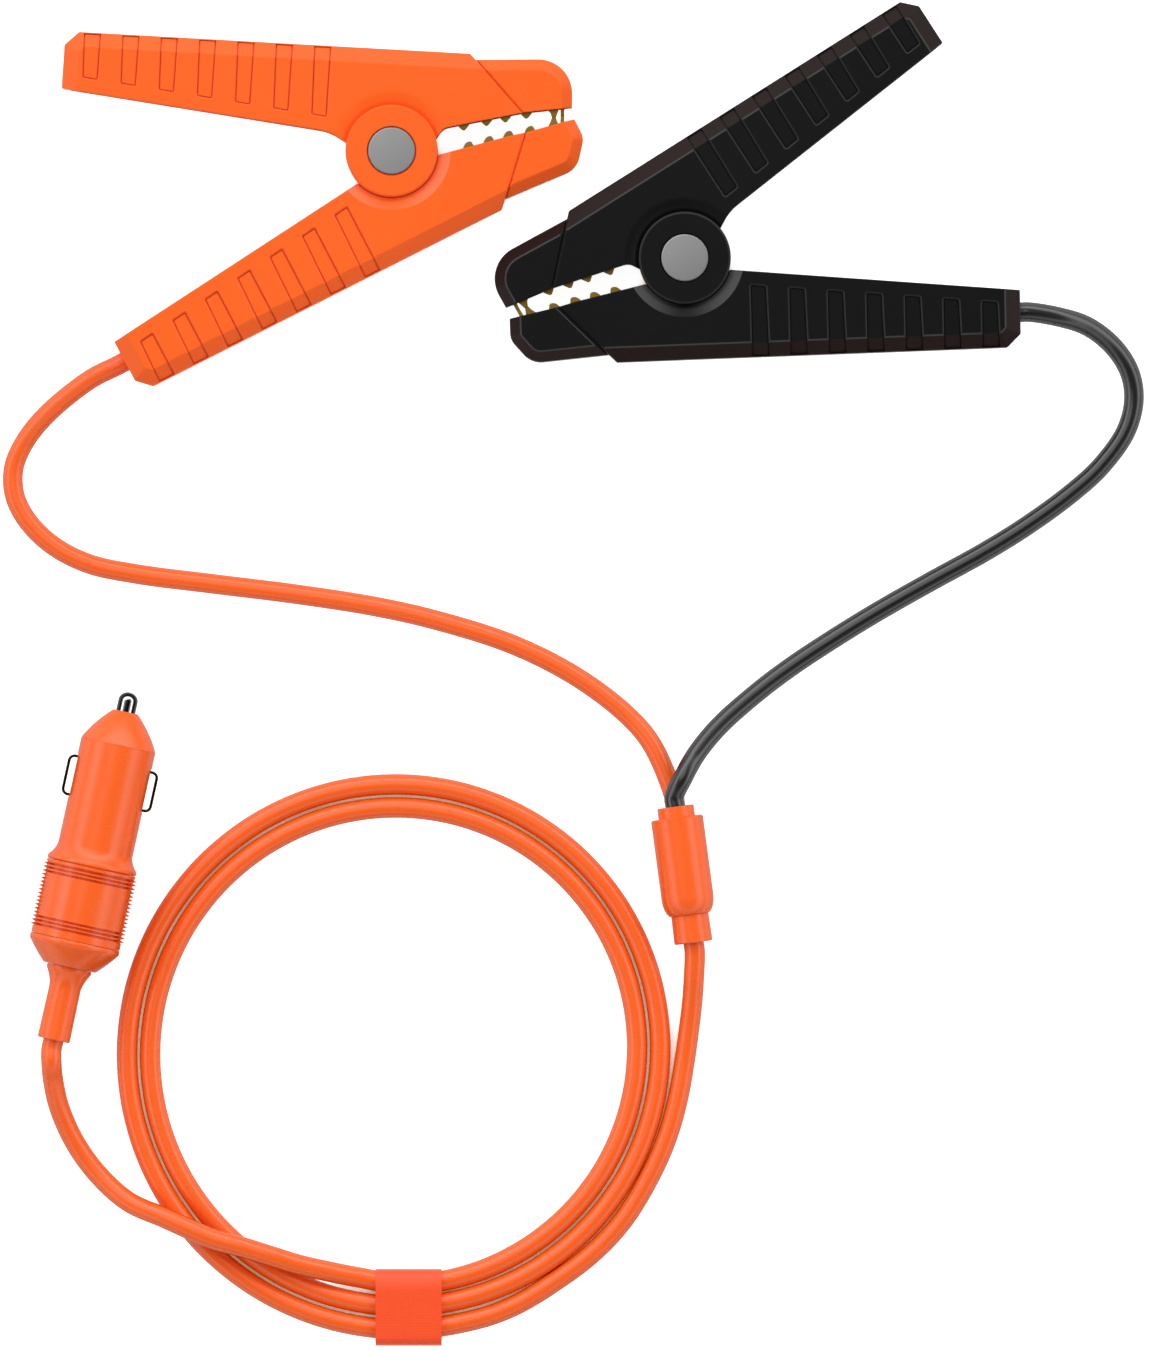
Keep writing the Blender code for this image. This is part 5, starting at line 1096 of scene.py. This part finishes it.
def makeNose(corners, radii):
    face, chamfer = clampSetup["face"], clampSetup["noseChamfer"]
    outline = roundOutline(corners, radii, 14)
    kinds = ("back", "front")
    body = slab(outline, -face, face, {kinds: chamfer, ("seam",): clampSetup["seamEdge"]}, clampSetup["edge"])
    step = face - clampSetup["seamDepth"]
    widths = [-clampSetup["seam"] if kind == "seam" else clampSetup["stepInset"] for *_, kind in outline]
    carve(body, slab(insetOutline(outline, widths), -step, step, {kinds: chamfer}), "UNION")
    return carve(body, shellHollow(outline, clampSetup["noseWall"], kinds, chamfer))


def makePin():  # the long half, with a bore for the cap's stub
    face = clampSetup["earFace"] + pinSetup["proud"]
    foot = -face + pinSetup["head"] + fit
    head, radius, bore = pinSetup["headRadius"], pinSetup["radius"], pinSetup["stubRadius"] + fit
    neck, boreEnd = face - pinSetup["head"], foot + pinSetup["stub"] + fit
    return turnedPiece([
        (0, boreEnd), (bore, boreEnd), (bore, foot), (radius, foot),
        (radius, neck), (head, neck), (head, face), (0, face),
    ], rounding=pinSetup["edge"])


def makePinCap():
    face = clampSetup["earFace"] + pinSetup["proud"]
    head, stub = pinSetup["headRadius"], pinSetup["stubRadius"]
    inner = -face + pinSetup["head"]
    end = inner + pinSetup["stub"]
    return turnedPiece([
        (0, -face), (head, -face), (head, inner), (stub, inner), (stub, end), (0, end),
    ], rounding=pinSetup["edge"])


jawSetup = {
    "width": 15.0,
    "sheet": 1.0,
    "rise": 1.5,  # how far the teeth stand past the jaw's edge line
    "root": 0.4,  # how far behind that line the sheet ends between them
    "toothBase": 3.4,
    "front": 48.3,
    "bite": 45.4,  # where the two jaws meet
    "biteGap": 0.1,
    "edge": 0.12,
}
upperJaw = {
    "side": 1,
    "back": 17.0,
    "edge": ((18.1, 7.0), (26.7, 8.7), (36.5, 10.6), (50.5, 12.1)),
    "web": ((17.0, 16.2), (45.3, 19.9), (48.3, 16.8)),
    "teeth": (20.2, 26.6, 31.9, 37.7),
    "tooth": ((-0.44, 0.30), (-0.14, 0.90), (0.0, 1.0), (0.12, 0.92), (0.42, 0.34)),
}
lowerJaw = {
    "side": -1,
    "back": 18.5,
    "edge": ((13.2, -1.1), (33.1, 4.2), (37.4, 5.1), (51.1, 8.9)),
    "web": ((18.5, -8.6), (45.7, -3.4), (48.3, -0.8)),
    "teeth": (21.5, 27.2, 32.7, 38.7),
    "tooth": ((-0.42, 0.42), (-0.30, 0.80), (-0.12, 1.0), (0.10, 1.0), (0.24, 0.86), (0.36, 0.46)),
}


def edgeHeight(edge, x):
    if x <= edge[0][0]:
        return edge[0][1]
    for (x0, y0), (x1, y1) in zip(edge, edge[1:]):
        if x <= x1:
            return y0 + (y1 - y0) * (x - x0) / (x1 - x0)
    return edge[-1][1]


def rootHeight(jaw, x):
    return edgeHeight(jaw["edge"], x) + jaw["side"] * jawSetup["root"]


def biteHeight(jaw, x):
    middle = (edgeHeight(upperJaw["edge"], x) + edgeHeight(lowerJaw["edge"], x)) / 2
    return middle + jaw["side"] * jawSetup["biteGap"] / 2


def toothedEdge(jaw):  # from the back to the front
    edge, side = jaw["edge"], jaw["side"]
    root, rise, base = jawSetup["root"], jawSetup["rise"], jawSetup["toothBase"]
    bite, front = jawSetup["bite"], jawSetup["front"]
    points = [(jaw["back"], rootHeight(jaw, jaw["back"]))]
    for x in jaw["teeth"]:
        points.append((x - base / 2, rootHeight(jaw, x - base / 2)))
        for share, height in jaw["tooth"]:
            at = x + share * base
            points.append((at, edgeHeight(edge, at) + side * (root - (root + rise) * height)))
        points.append((x + base / 2, rootHeight(jaw, x + base / 2)))
    return points + [
        (bite - 1.9, rootHeight(jaw, bite - 1.9)),
        (bite - 1.0, edgeHeight(edge, bite) - side * 0.7),
        (bite - 0.5, biteHeight(jaw, bite)),
        (bite + 0.5, biteHeight(jaw, bite)),
        (bite + 1.0, edgeHeight(edge, bite) - side * 0.7),
        (bite + 1.5, rootHeight(jaw, bite + 1.5)),
        (front - 1.1, rootHeight(jaw, front)),
        (front - 1.0, biteHeight(jaw, front)),
        (front, biteHeight(jaw, front)),
    ]


def makeJaw(jaw):  # a folded sheet channel, open towards the other jaw
    side, web, front = jaw["side"], jaw["web"], jawSetup["front"]
    half, sheet = jawSetup["width"] / 2, jawSetup["sheet"]
    body = slab((toothedEdge(jaw) + list(web[::-1]))[::side], -half, half)
    start, end, tip = (Vector(point) for point in web)
    run = (end - start).normalized()
    inwards = Vector((run.y, -run.x)) * side
    roomBack = start + inwards * sheet - run * throughAll
    roomFront = end + inwards * sheet
    away = side * throughAll
    room = [
        tuple(roomBack), tuple(roomFront), (front - sheet, tip.y),
        (front - sheet, tip.y - away), (roomBack.x, roomBack.y - away),
    ]
    carve(body, slab(room[::-side], -half + sheet, half - sheet))
    return soften(body, 60, jawSetup["edge"])


paintedLightSetup = {  # faces that get painted light are told apart by their tilt, the z part of their normal
    "pocketTilts": (0.5, 0.97),
    "pocketFade": 30,  # degrees
    "earRim": (-0.7, 0.05),  # where the ear's rim lies, from the ear's radius
    "earRimTilts": (0.8, 0.995),
    "chamferDepth": 0.9,  # only the wide chamfers reach deeper than this
    "chamferTilts": (0.6, 0.9),
    "seamReach": 0.9,
    "seamTilts": (0.8, 0.9),
    "edgeTilts": ((0.8, 0.915), (0.93, 0.995)),
    "rimShare": 0.4,
}


def between(value, limits):
    return limits[0] < value < limits[1]


def paintPocketLight(handle, pivot):  # painted light: the pocket's slope is painted paler towards its two ends, and left plain in the south, where the ear shades it
    mesh = handle.data
    pale = mesh.attributes.new("pocketPaintedLight", "FLOAT", "CORNER")
    slope = (clampSetup["ear"], clampSetup["pocket"] + 0.1)
    for face in mesh.polygons:
        reach = (face.center / mm - pivot).to_2d().length
        if not (between(reach, slope) and between(abs(face.normal.z), paintedLightSetup["pocketTilts"])):
            continue
        for corner in face.loop_indices:
            at = mesh.vertices[mesh.loops[corner].vertex_index].co / mm - pivot
            fromSouth = abs(math.atan2(at.x, -at.y)) / math.radians(paintedLightSetup["pocketFade"])
            pale.data[corner].value = 1 - math.exp(-(fromSouth**2))


def awayFrom(point, start, end):  # how far a point is from the line through start and end
    span = Vector(end) - Vector(start)
    return abs((point - Vector(start)).cross(span)) / span.length


def paintMouldingLight(shape, seam, seamShare):  # paints light on the wide chamfers, and painted highlight lines on the fine slopes of rims and seams
    mesh = shape.data
    lines = mesh.attributes.new("edgePaintedHighlight", "FLOAT", "CORNER")
    tones = mesh.attributes.new("chamferPaintedLight", "FLOAT", "CORNER")
    dip = clampSetup["dip"] + 0.1
    deep = clampSetup["face"] - paintedLightSetup["chamferDepth"]
    earRim = [clampSetup["ear"] + past for past in paintedLightSetup["earRim"]]
    rimTilt = gripSetup["rim"] / math.hypot(gripSetup["rim"], gripSetup["rimDepth"])
    for face in mesh.polygons:
        middle = face.center.to_2d()
        reach, tilt = middle.length, abs(face.normal.z)
        level = min(abs(mesh.vertices[v].co.z) for v in face.vertices)
        line, tone = 0.0, 0.0
        if reach < dip:
            if between(reach, earRim) and between(tilt, paintedLightSetup["earRimTilts"]):
                line = paintedLightSetup["rimShare"]
        # painted light and painted reflection on the wide chamfers
        elif level < deep:
            tone = float(between(tilt, paintedLightSetup["chamferTilts"]))
        elif awayFrom(middle, *seam) < paintedLightSetup["seamReach"]:
            line = seamShare * between(tilt, paintedLightSetup["seamTilts"])
        elif abs(tilt - rimTilt) < 0.003:
            line = paintedLightSetup["rimShare"]
        # painted highlight lines on the fine edge slopes
        elif any(between(tilt, tilts) for tilts in paintedLightSetup["edgeTilts"]):
            line = 1.0
        for corner in face.loop_indices:
            lines.data[corner].value = line
            tones.data[corner].value = tone


clampShapes = {
    "upper_handle": makeUpperHandle(),
    "lower_handle": makeLowerHandle(),
    "upper_nose": makeNose(upperNoseOutline, {2: 9.5}),
    "lower_nose": makeNose(lowerNoseOutline, {1: 6.5, 2: 5.0}),
    "upper_jaw": makeJaw(upperJaw),
    "lower_jaw": makeJaw(lowerJaw),
    "pivot_pin": makePin(),
    "pivot_cap": makePinCap(),
}
for part, seam, seamShare in (
    ("upper_handle", upperSeam, 0.7), ("lower_handle", lowerSeam, 0.7),
    ("upper_nose", upperSeam, 0.0), ("lower_nose", lowerSeam, 0.0),
):
    paintMouldingLight(mendMesh(clampShapes[part]), seam, seamShare)


def makeClamp(colour, clampFrame):
    moving, fixed = f"{colour}_squeeze_handle", "cable_set"
    plastic = (f"{colour}HandlePlastic", f"{colour}_plastic", 8)
    brass, plated = ("jawBrass", "brass", 32), ("platedPin", "nickel", 32)
    for part, body, (finish, slot, angle) in (
        ("upper_handle", moving, plastic), ("lower_handle", fixed, plastic),
        ("upper_nose", moving, plastic), ("lower_nose", fixed, plastic),
        ("upper_jaw", moving, brass), ("lower_jaw", fixed, brass),
        ("pivot_pin", fixed, plated), ("pivot_cap", fixed, plated),
    ):
        piece, node = copyOf(clampShapes[part]), f"{colour}_{part}"
        name = colour + "".join(word.capitalize() for word in part.split("_"))
        dress(piece, name, clampFrame, finish, body, node, angle=angle)
        if part == "lower_handle":
            paintPocketLight(piece, clampFrame.translation)


makeClamp("orange", orangeFrame)
makeClamp("black", blackFrame)
for shape in clampShapes.values():
    bpy.data.objects.remove(shape)
print("clamps made")

# Plug: +Z runs from the cord's end to the tip, and -Y faces up

plugSetup = {
    "edge": 0.35,  # of the larger roundings
    "play": 0.1,  # gap between pieces that meet end to end
    "barrel": 10.65, "wall": 2.35, "barrelEnd": 84.6, "seam": 0.04,
    "shoulder": 12.75, "shoulderStart": 49.6, "shoulderBand": 1.1, "shoulderLength": 5.2,
    "grip": 13.35, "gripStart": 28.3, "seat": 9.6,
    "ribs": 17, "ribShape": (0.12, 0.42, 0.58, 0.88), "ribFoot": 12.35,
    "plain": 12.7, "plainFoot": 1.9, "plainHead": 0.8,
    "panel": 12.5,  # radius of the smooth panel, which leaves the ribs to show at the sides
    "panelHalf": 72.0,  # degrees to each side of the panel's middle
    "panelDepth": 0.8, "panelLap": 0.2, "panelInner": 10.8, "panelEdge": 0.15,
    "grooves": 3, "groovePitch": 1.1, "grooveWidth": 0.64, "grooveDepth": 0.95,
    "grooveMargin": 0.45, "grooveSlope": 0.12,
    "tailStart": 20.9, "tail": 7.85, "tailBand": 1.2, "tailFull": 12.75, "spigot": 5.0,
    "boot": 4.5, "bootEnd": 4.62, "bootFlare": 6.35, "bootFlareLength": 5.4, "bootBand": 0.9,
    "bootNeck": 4.6, "bootFlange": 6.4, "bootFlangeLength": 2.0,
    "tip": 2.8, "tipReach": 5.6, "tipDome": 2.5, "tipFlange": 2.0,
    "noseLength": 9.5, "noseTip": 3.85, "noseBulge": 0.6, "noseLand": 3.7, "noseThread": 4.4,
    "thread": 6.0, "fuse": 3.4,
}
sideContactSetup = {
    "start": 67.7,
    "length": 11.8,
    "rise": 2.3,  # how far it stands out of the barrel
    "sheet": 0.85,
    "width": 4.0,
    "foot": 2.4,
    "footGap": 0.35,
    "bend": 1.5,
    "edge": 0.08,
}


def makeBarrel():
    p = plugSetup
    inner, end = p["barrel"] - p["wall"], p["barrelEnd"] - p["seam"]
    foot = p["shoulderStart"] + p["shoulderBand"]
    sweep = []
    for step in range(1, 11):
        share = step / 10
        rise = (p["shoulder"] - p["barrel"]) * (1 - share) ** 1.8
        sweep.append((p["barrel"] + rise, foot + (p["shoulderLength"] - p["shoulderBand"]) * share))
    start, shoulder, edge = p["shoulderStart"], p["shoulder"], p["edge"]
    barrel = turnedPiece([
        (inner, p["gripStart"] + fit), (p["seat"], p["gripStart"] + fit), (p["seat"], start),
        (shoulder - edge, start), (shoulder, start + edge), (shoulder, foot - 0.3), (shoulder - 0.12, foot),
        *sweep, (p["barrel"], end), (inner, end),
    ])
    s = sideContactSetup
    half, low, high = s["width"] / 2 + fit, s["start"] - fit, s["start"] + s["length"] + fit
    slots = []
    for side in (-1, 1):
        near, far = sorted((side * (inner - 1), side * shoulder))
        slots.append(slab([(near, -half), (far, -half), (far, half), (near, half)], low, high))
    return carve(barrel, together(*slots))


def makeNoseCap():
    p = plugSetup
    barrel, tip, foot = p["barrel"], p["noseTip"], p["barrelEnd"]
    thread, bore, tipBore = p["thread"] + fit, p["fuse"] + 0.35, p["tip"] + fit
    end = foot + p["noseLength"]
    seat, threadEnd = end - p["noseLand"], foot + p["noseThread"]
    outer = []
    for step in range(13):
        share = step / 12
        radius = barrel + (tip - barrel) * share + p["noseBulge"] * 4 * share * (1 - share)
        outer.append((radius, foot + 0.02 + (p["noseLength"] - 0.3) * share))
    return turnedPiece([
        (thread, foot), (barrel - 0.02, foot), *outer, (tip - 0.3, end), (tipBore, end),
        (tipBore, seat), (bore, seat), (bore, threadEnd), (thread, threadEnd),
    ])


def makeTip():
    p = plugSetup
    seat = p["barrelEnd"] + p["noseLength"] - p["noseLand"] - fit
    end = p["barrelEnd"] + p["noseLength"] + p["tipReach"]
    foot = seat - p["tipFlange"]
    profile = [(0, foot), (p["fuse"], foot), (p["fuse"], seat), (p["tip"], seat)]
    for step in range(10):
        angle = math.pi / 2 * step / 10
        profile.append((p["tip"] * math.cos(angle), end - p["tipDome"] * (1 - math.sin(angle))))
    profile.append((0, end))
    return turnedPiece(profile, 72)


def sweptSectors(profile):  # the profile swept over the top and bottom of the grip
    parts = []
    for middle in (-90, 90):
        bm = bmesh.new()
        start = math.radians(middle - plugSetup["panelHalf"])
        ring = [bm.verts.new((r * math.cos(start), r * math.sin(start), z)) for r, z in profile]
        face = bm.faces.new(ring)
        bmesh.ops.spin(
            bm, geom=[face, *face.verts, *face.edges], cent=(0, 0, 0), axis=(0, 0, 1), dvec=(0, 0, 0),
            angle=math.radians(2 * plugSetup["panelHalf"]), steps=56, use_merge=False,
        )
        bmesh.ops.remove_doubles(bm, verts=bm.verts, dist=1e-4)
        parts.append(newPiece("sector", bm))
    return together(*parts)


def panelSectors(low, high):  # a smooth wall with fine grooves near its ends
    p = plugSetup
    panel, inner, edge, margin = p["panel"], p["panelInner"], p["panelEdge"], p["grooveMargin"]
    floor, slope = panel - p["grooveDepth"], p["grooveSlope"]
    steps = [p["groovePitch"] * k for k in range(p["grooves"])]
    starts = [low + margin + step for step in steps]
    starts += [high - margin - p["grooveWidth"] - step for step in reversed(steps)]
    profile = [(inner, low), (panel - edge, low), (panel, low + edge)]
    for start in starts:
        end = start + p["grooveWidth"]
        profile += [(panel, start), (floor, start + slope), (floor, end - slope), (panel, end)]
    profile += [(panel, high - edge), (panel - edge, high), (inner, high)]
    return sweptSectors(profile)


def makeGrip():
    p = plugSetup
    inner, ribFoot, plain = p["seat"] + fit, p["ribFoot"], p["plain"]
    foot, head = p["gripStart"] + p["play"], p["shoulderStart"] - p["play"]
    low, high = foot + p["plainFoot"], head - p["plainHead"]
    pitch = (high - low) / p["ribs"]
    profile = [(inner, foot), (plain, foot), (plain, low), (ribFoot, low)]
    for k in range(p["ribs"]):
        for share, radius in zip(p["ribShape"], (ribFoot, p["grip"], p["grip"], ribFoot)):
            profile.append((radius, low + pitch * k + pitch * share))
    profile += [(ribFoot, high), (plain, high), (plain, head), (inner, head)]
    ribs = turnedPiece(profile)
    root, reach, lap = ribFoot - p["panelDepth"], 2 * p["grip"], p["panelLap"]
    carve(ribs, sweptSectors([(root, low), (reach, low), (reach, high), (root, high)]))
    return mendMesh(carve(ribs, panelSectors(low - lap, high + lap), "UNION"))


def makeTail():
    p = plugSetup
    spigot, bore = p["barrel"] - p["wall"] - fit, p["bootNeck"] + fit
    full, start, seat, edge = p["tailFull"], p["tailStart"], p["gripStart"], p["edge"]
    band, end = seat - p["tailBand"], seat + p["spigot"]
    slope = []
    for step in range(9):
        share = step / 8
        slope.append((
            p["tail"] + (full - p["tail"]) * share + 0.25 * 4 * share * (1 - share),
            start + edge + (band - start - 0.5) * share,
        ))
    return turnedPiece([
        (bore, start), (p["tail"] - edge, start), *slope, (full + 0.05, band + edge),
        (full + 0.02, seat - edge), (full - 0.2, seat), (spigot, seat), (spigot, end), (bore, end),
    ])


def makeBoot():
    p = plugSetup
    bore, seat = cordSetup["mainDiameter"] / 2 + fit, p["tailStart"] - p["play"]
    flange = p["gripStart"] + p["spigot"] + fit
    end = flange + p["bootFlangeLength"]
    flare = seat - p["bootFlareLength"] - p["bootBand"]
    profile = [(bore, 0), (p["bootEnd"] - 0.3, 0), (p["bootEnd"], 0.3), (p["boot"], flare)]
    for step in range(1, 11):
        share = step / 10
        rise = (p["bootFlare"] - p["boot"]) * (1 - math.cos(share * math.pi / 2))
        profile.append((p["boot"] + rise, flare + p["bootFlareLength"] * share))
    profile += [
        (p["bootFlare"], seat), (p["bootNeck"], seat), (p["bootNeck"], flange), (p["bootFlange"], flange),
        (p["bootFlange"], end), (bore, end),
    ]
    return turnedPiece(profile, 72)


def makeSideContact(side):  # a bent strip of spring sheet, which stands out of its slot
    s, p = sideContactSetup, plugSetup
    inner = p["barrel"] - p["wall"]
    foot = math.sqrt(inner**2 - (s["width"] / 2) ** 2) - fit - s["footGap"]
    crown = p["barrel"] + s["rise"] - s["sheet"] / 2
    low, high = s["start"] + s["sheet"] / 2, s["start"] + s["length"] - s["sheet"] / 2
    bend = s["bend"]
    arc = []
    for step in range(9):
        angle = math.pi / 2 * step / 8
        arc.append((crown - bend + bend * math.sin(angle), bend - bend * math.cos(angle)))
    line = [(foot, low - s["foot"]), (foot, low)]
    line += [(x, low + rise) for x, rise in arc] + [(x, high - rise) for x, rise in arc[::-1]]
    line += [(foot, high), (foot, high + s["foot"])]
    bm = bmesh.new()
    edge = [bm.verts.new((side * x, -s["width"] / 2, z)) for x, z in line]
    edges = [bm.edges.new(pair) for pair in zip(edge, edge[1:])]
    moveGrown(bm, bmesh.ops.extrude_edge_only(bm, edges=edges)["geom"], (0, s["width"], 0))
    piece = newPiece("sideContact", bm)
    sheet = piece.modifiers.new("sheet", "SOLIDIFY")
    sheet.thickness = s["sheet"] * mm
    sheet.offset = 0
    edgeRound = piece.modifiers.new("edgeRound", "BEVEL")
    edgeRound.width = s["edge"] * mm
    edgeRound.segments = 2
    return piece


def makePlug():
    plastic, slot = "orangePlugPlastic", "orange_gloss"
    for make, name, body, node in (
        (makeBarrel, "plugBarrel", "cable_set", "plug_barrel"),
        (makeGrip, "plugGrip", "cable_set", "plug_grip_sleeve"),
        (makeTail, "plugTail", "cable_set", "plug_tail"),
        (makeBoot, "plugBoot", "cable_set", "plug_boot"),
        (makeNoseCap, "plugNoseCap", "plug_nose", "plug_nose_cap"),
    ):
        dress(make(), name, plugFrame, plastic, body, node)
    dress(makeTip(), "plugTip", plugFrame, "contactPaintedReflection", "plug_tip", "plug_tip_contact")
    for word, side in (("left", -1), ("right", 1)):
        name, body = "plugContact" + word.capitalize(), f"plug_{word}_spring"
        node = f"plug_side_contact_{word}"
        dress(makeSideContact(side), name, plugFrame, "contactPaintedReflection", body, node)


makePlug()
print("plug made")

# Splitter: +Z runs from the main cord's end to the leads

splitterShape = {
    "radius": 7.35, "wall": 1.4, "neck": 5.4, "neckLength": 7.8, "body": 35.4, "round": 5.2,
    "edge": 0.45, "collar": 10.3, "collarHeight": 14.2, "split": 0.1,
}


def splitterProfile(inset, low, high):  # with an inset, the hollow inside
    s = splitterShape
    neck, full = s["neck"] - inset, s["radius"] - inset
    if inset:
        profile = [(0, low), (neck, low)]
    else:
        profile = [(0, low), (neck - 0.3, low), (neck, low + 0.3), (neck - 0.12, s["neckLength"])]
    for step in range(1, 13):
        angle = math.pi / 2 * step / 12
        profile.append((
            neck + (full - neck) * math.sin(angle), s["neckLength"] + inset + s["round"] * (step / 12) ** 1.5,
        ))
    return profile + [(full, high - s["edge"]), (full - s["edge"], high), (0, high)]


def oblong(width, height, low, high, rounding=0.0):
    radius, straight = width / 2, (height - width) / 2
    outline = []
    for centre, start in ((straight, 0.0), (-straight, math.pi)):
        for step in range(21):
            angle = start + math.pi * step / 20
            outline.append((radius * math.cos(angle), centre + radius * math.sin(angle)))
    return slab(outline, low, high, rounding=rounding)


def makeSplitter():
    s = splitterShape
    lead, main = cordSetup["leadDiameter"], cordSetup["mainDiameter"]
    length, wall = splitterSetup["length"], s["wall"]
    body = turnedPiece(splitterProfile(0, 0, s["body"]))
    carve(body, oblong(s["collar"], s["collarHeight"], s["body"] - wall, length, 0.3), "UNION")
    carve(body, turnedPiece(splitterProfile(wall, s["neckLength"] + wall, s["body"] - wall), 64))
    spread = lead + 2 * splitterSetup["leadOffset"] + 2 * fit
    carve(body, oblong(lead + 2 * fit, spread, s["body"] - 2 * wall, length + wall))
    carve(body, disc(main / 2 + fit, -wall, s["neckLength"] + 2 * wall, 64))
    wide = 60  # the blocks that keep one half reach far past the splitter
    for word, low, high in (("top", -wide, -s["split"]), ("bottom", s["split"], wide)):
        block = slab([(-wide, low), (wide, low), (wide, high), (-wide, high)], -wide, wide)
        half = carve(copyOf(body), block, "INTERSECT")
        name, node = "splitter" + word.capitalize(), f"splitter_{word}_shell"
        dress(half, name, splitterFrame, "orangePlugPlastic", "cable_set", node)
    bpy.data.objects.remove(body)


makeSplitter()
print("splitter made")

# Strap

strapSetup = {
    "width": 18.5,
    "sheet": 0.8,
    "nearEase": 0.6,  # slack beside the strands, at the near side and the far side
    "farEase": 0.35,
    "corner": 1.6,
    "farCorner": 5.5,  # width and height of the far side's flatter corner
    "farRise": 2.8,
    "hem": 0.25,
}


def strapRing(grow):
    coil = coilPoints()
    radius = cordSetup["mainDiameter"] / 2
    sheet = strapSetup["sheet"]
    lowY = coil[0].y - radius - fit - strapSetup["nearEase"] - grow
    highY = coil[-1].y + radius + fit + strapSetup["farEase"] + grow
    lowZ, highZ = sheet - grow, sheet + 2 * radius + 2 * fit + grow
    turn, far, drop = (strapSetup[key] + grow for key in ("corner", "farCorner", "farRise"))
    ring = []
    for y, z, start, reach, rise in (
        (highY - far, highZ - drop, 0, far, drop), (lowY + turn, highZ - turn, 90, turn, turn),
        (lowY + turn, lowZ + turn, 180, turn, turn), (highY - turn, lowZ + turn, 270, turn, turn),
    ):
        for step in range(13):
            angle = math.radians(start + 90 * step / 12)
            ring.append((y + reach * math.cos(angle), z + rise * math.sin(angle)))
    return ring


def makeStrap():
    bm = bmesh.new()
    middle = coilPoints()[0].x
    near, far = middle - strapSetup["width"] / 2, middle + strapSetup["width"] / 2
    loops = []
    for grow, x in ((0, near), (strapSetup["sheet"], near), (strapSetup["sheet"], far), (0, far)):
        verts = [bm.verts.new((x, y, z)) for y, z in strapRing(grow)]
        loops.append([bm.edges.new(pair) for pair in zip(verts, verts[1:] + verts[:1])])
    for first, second in zip(loops, loops[1:] + loops[:1]):
        bmesh.ops.bridge_loops(bm, edges=first + second)
    bmesh.ops.recalc_face_normals(bm, faces=bm.faces)
    bevelEdges(bm, sharpEdges(bm, 60), strapSetup["hem"])
    strap = mendMesh(newPiece("strap", bm), strapSetup["hem"] / 6)
    dress(strap, "coilStrap", Matrix.Identity(4), "strapFabric", "cable_set", "coil_strap")


makeStrap()
print("strap made")

# CAD pieces that keep their own shape

slotFinishes = {
    "orange_plastic": "orangeHandlePlastic", "black_plastic": "blackHandlePlastic",
    "orange_gloss": "orangePlugPlastic", "orange_cord": "orangeJacket", "black_cord": "blackJacket",
    "nickel": "platedPin", "spring_steel": "springWire", "brass": "jawBrass",
    "strap_fabric": "strapFabric", "natural_plastic": "paleCorePlastic", "fuse_glass": "fuseGlass",
    "copper": "bareCopper",
}


def dressNodes():
    for part in frame["record"]["subparts"]:
        node = nodes[part["node"]]
        finish = finishes[slotFinishes[part["material_slot"]]]
        for materialSlot in node.material_slots:
            materialSlot.material = finish


dressNodes()
print("CAD pieces dressed")

bpy.context.scene.view_settings.view_transform = "Standard"
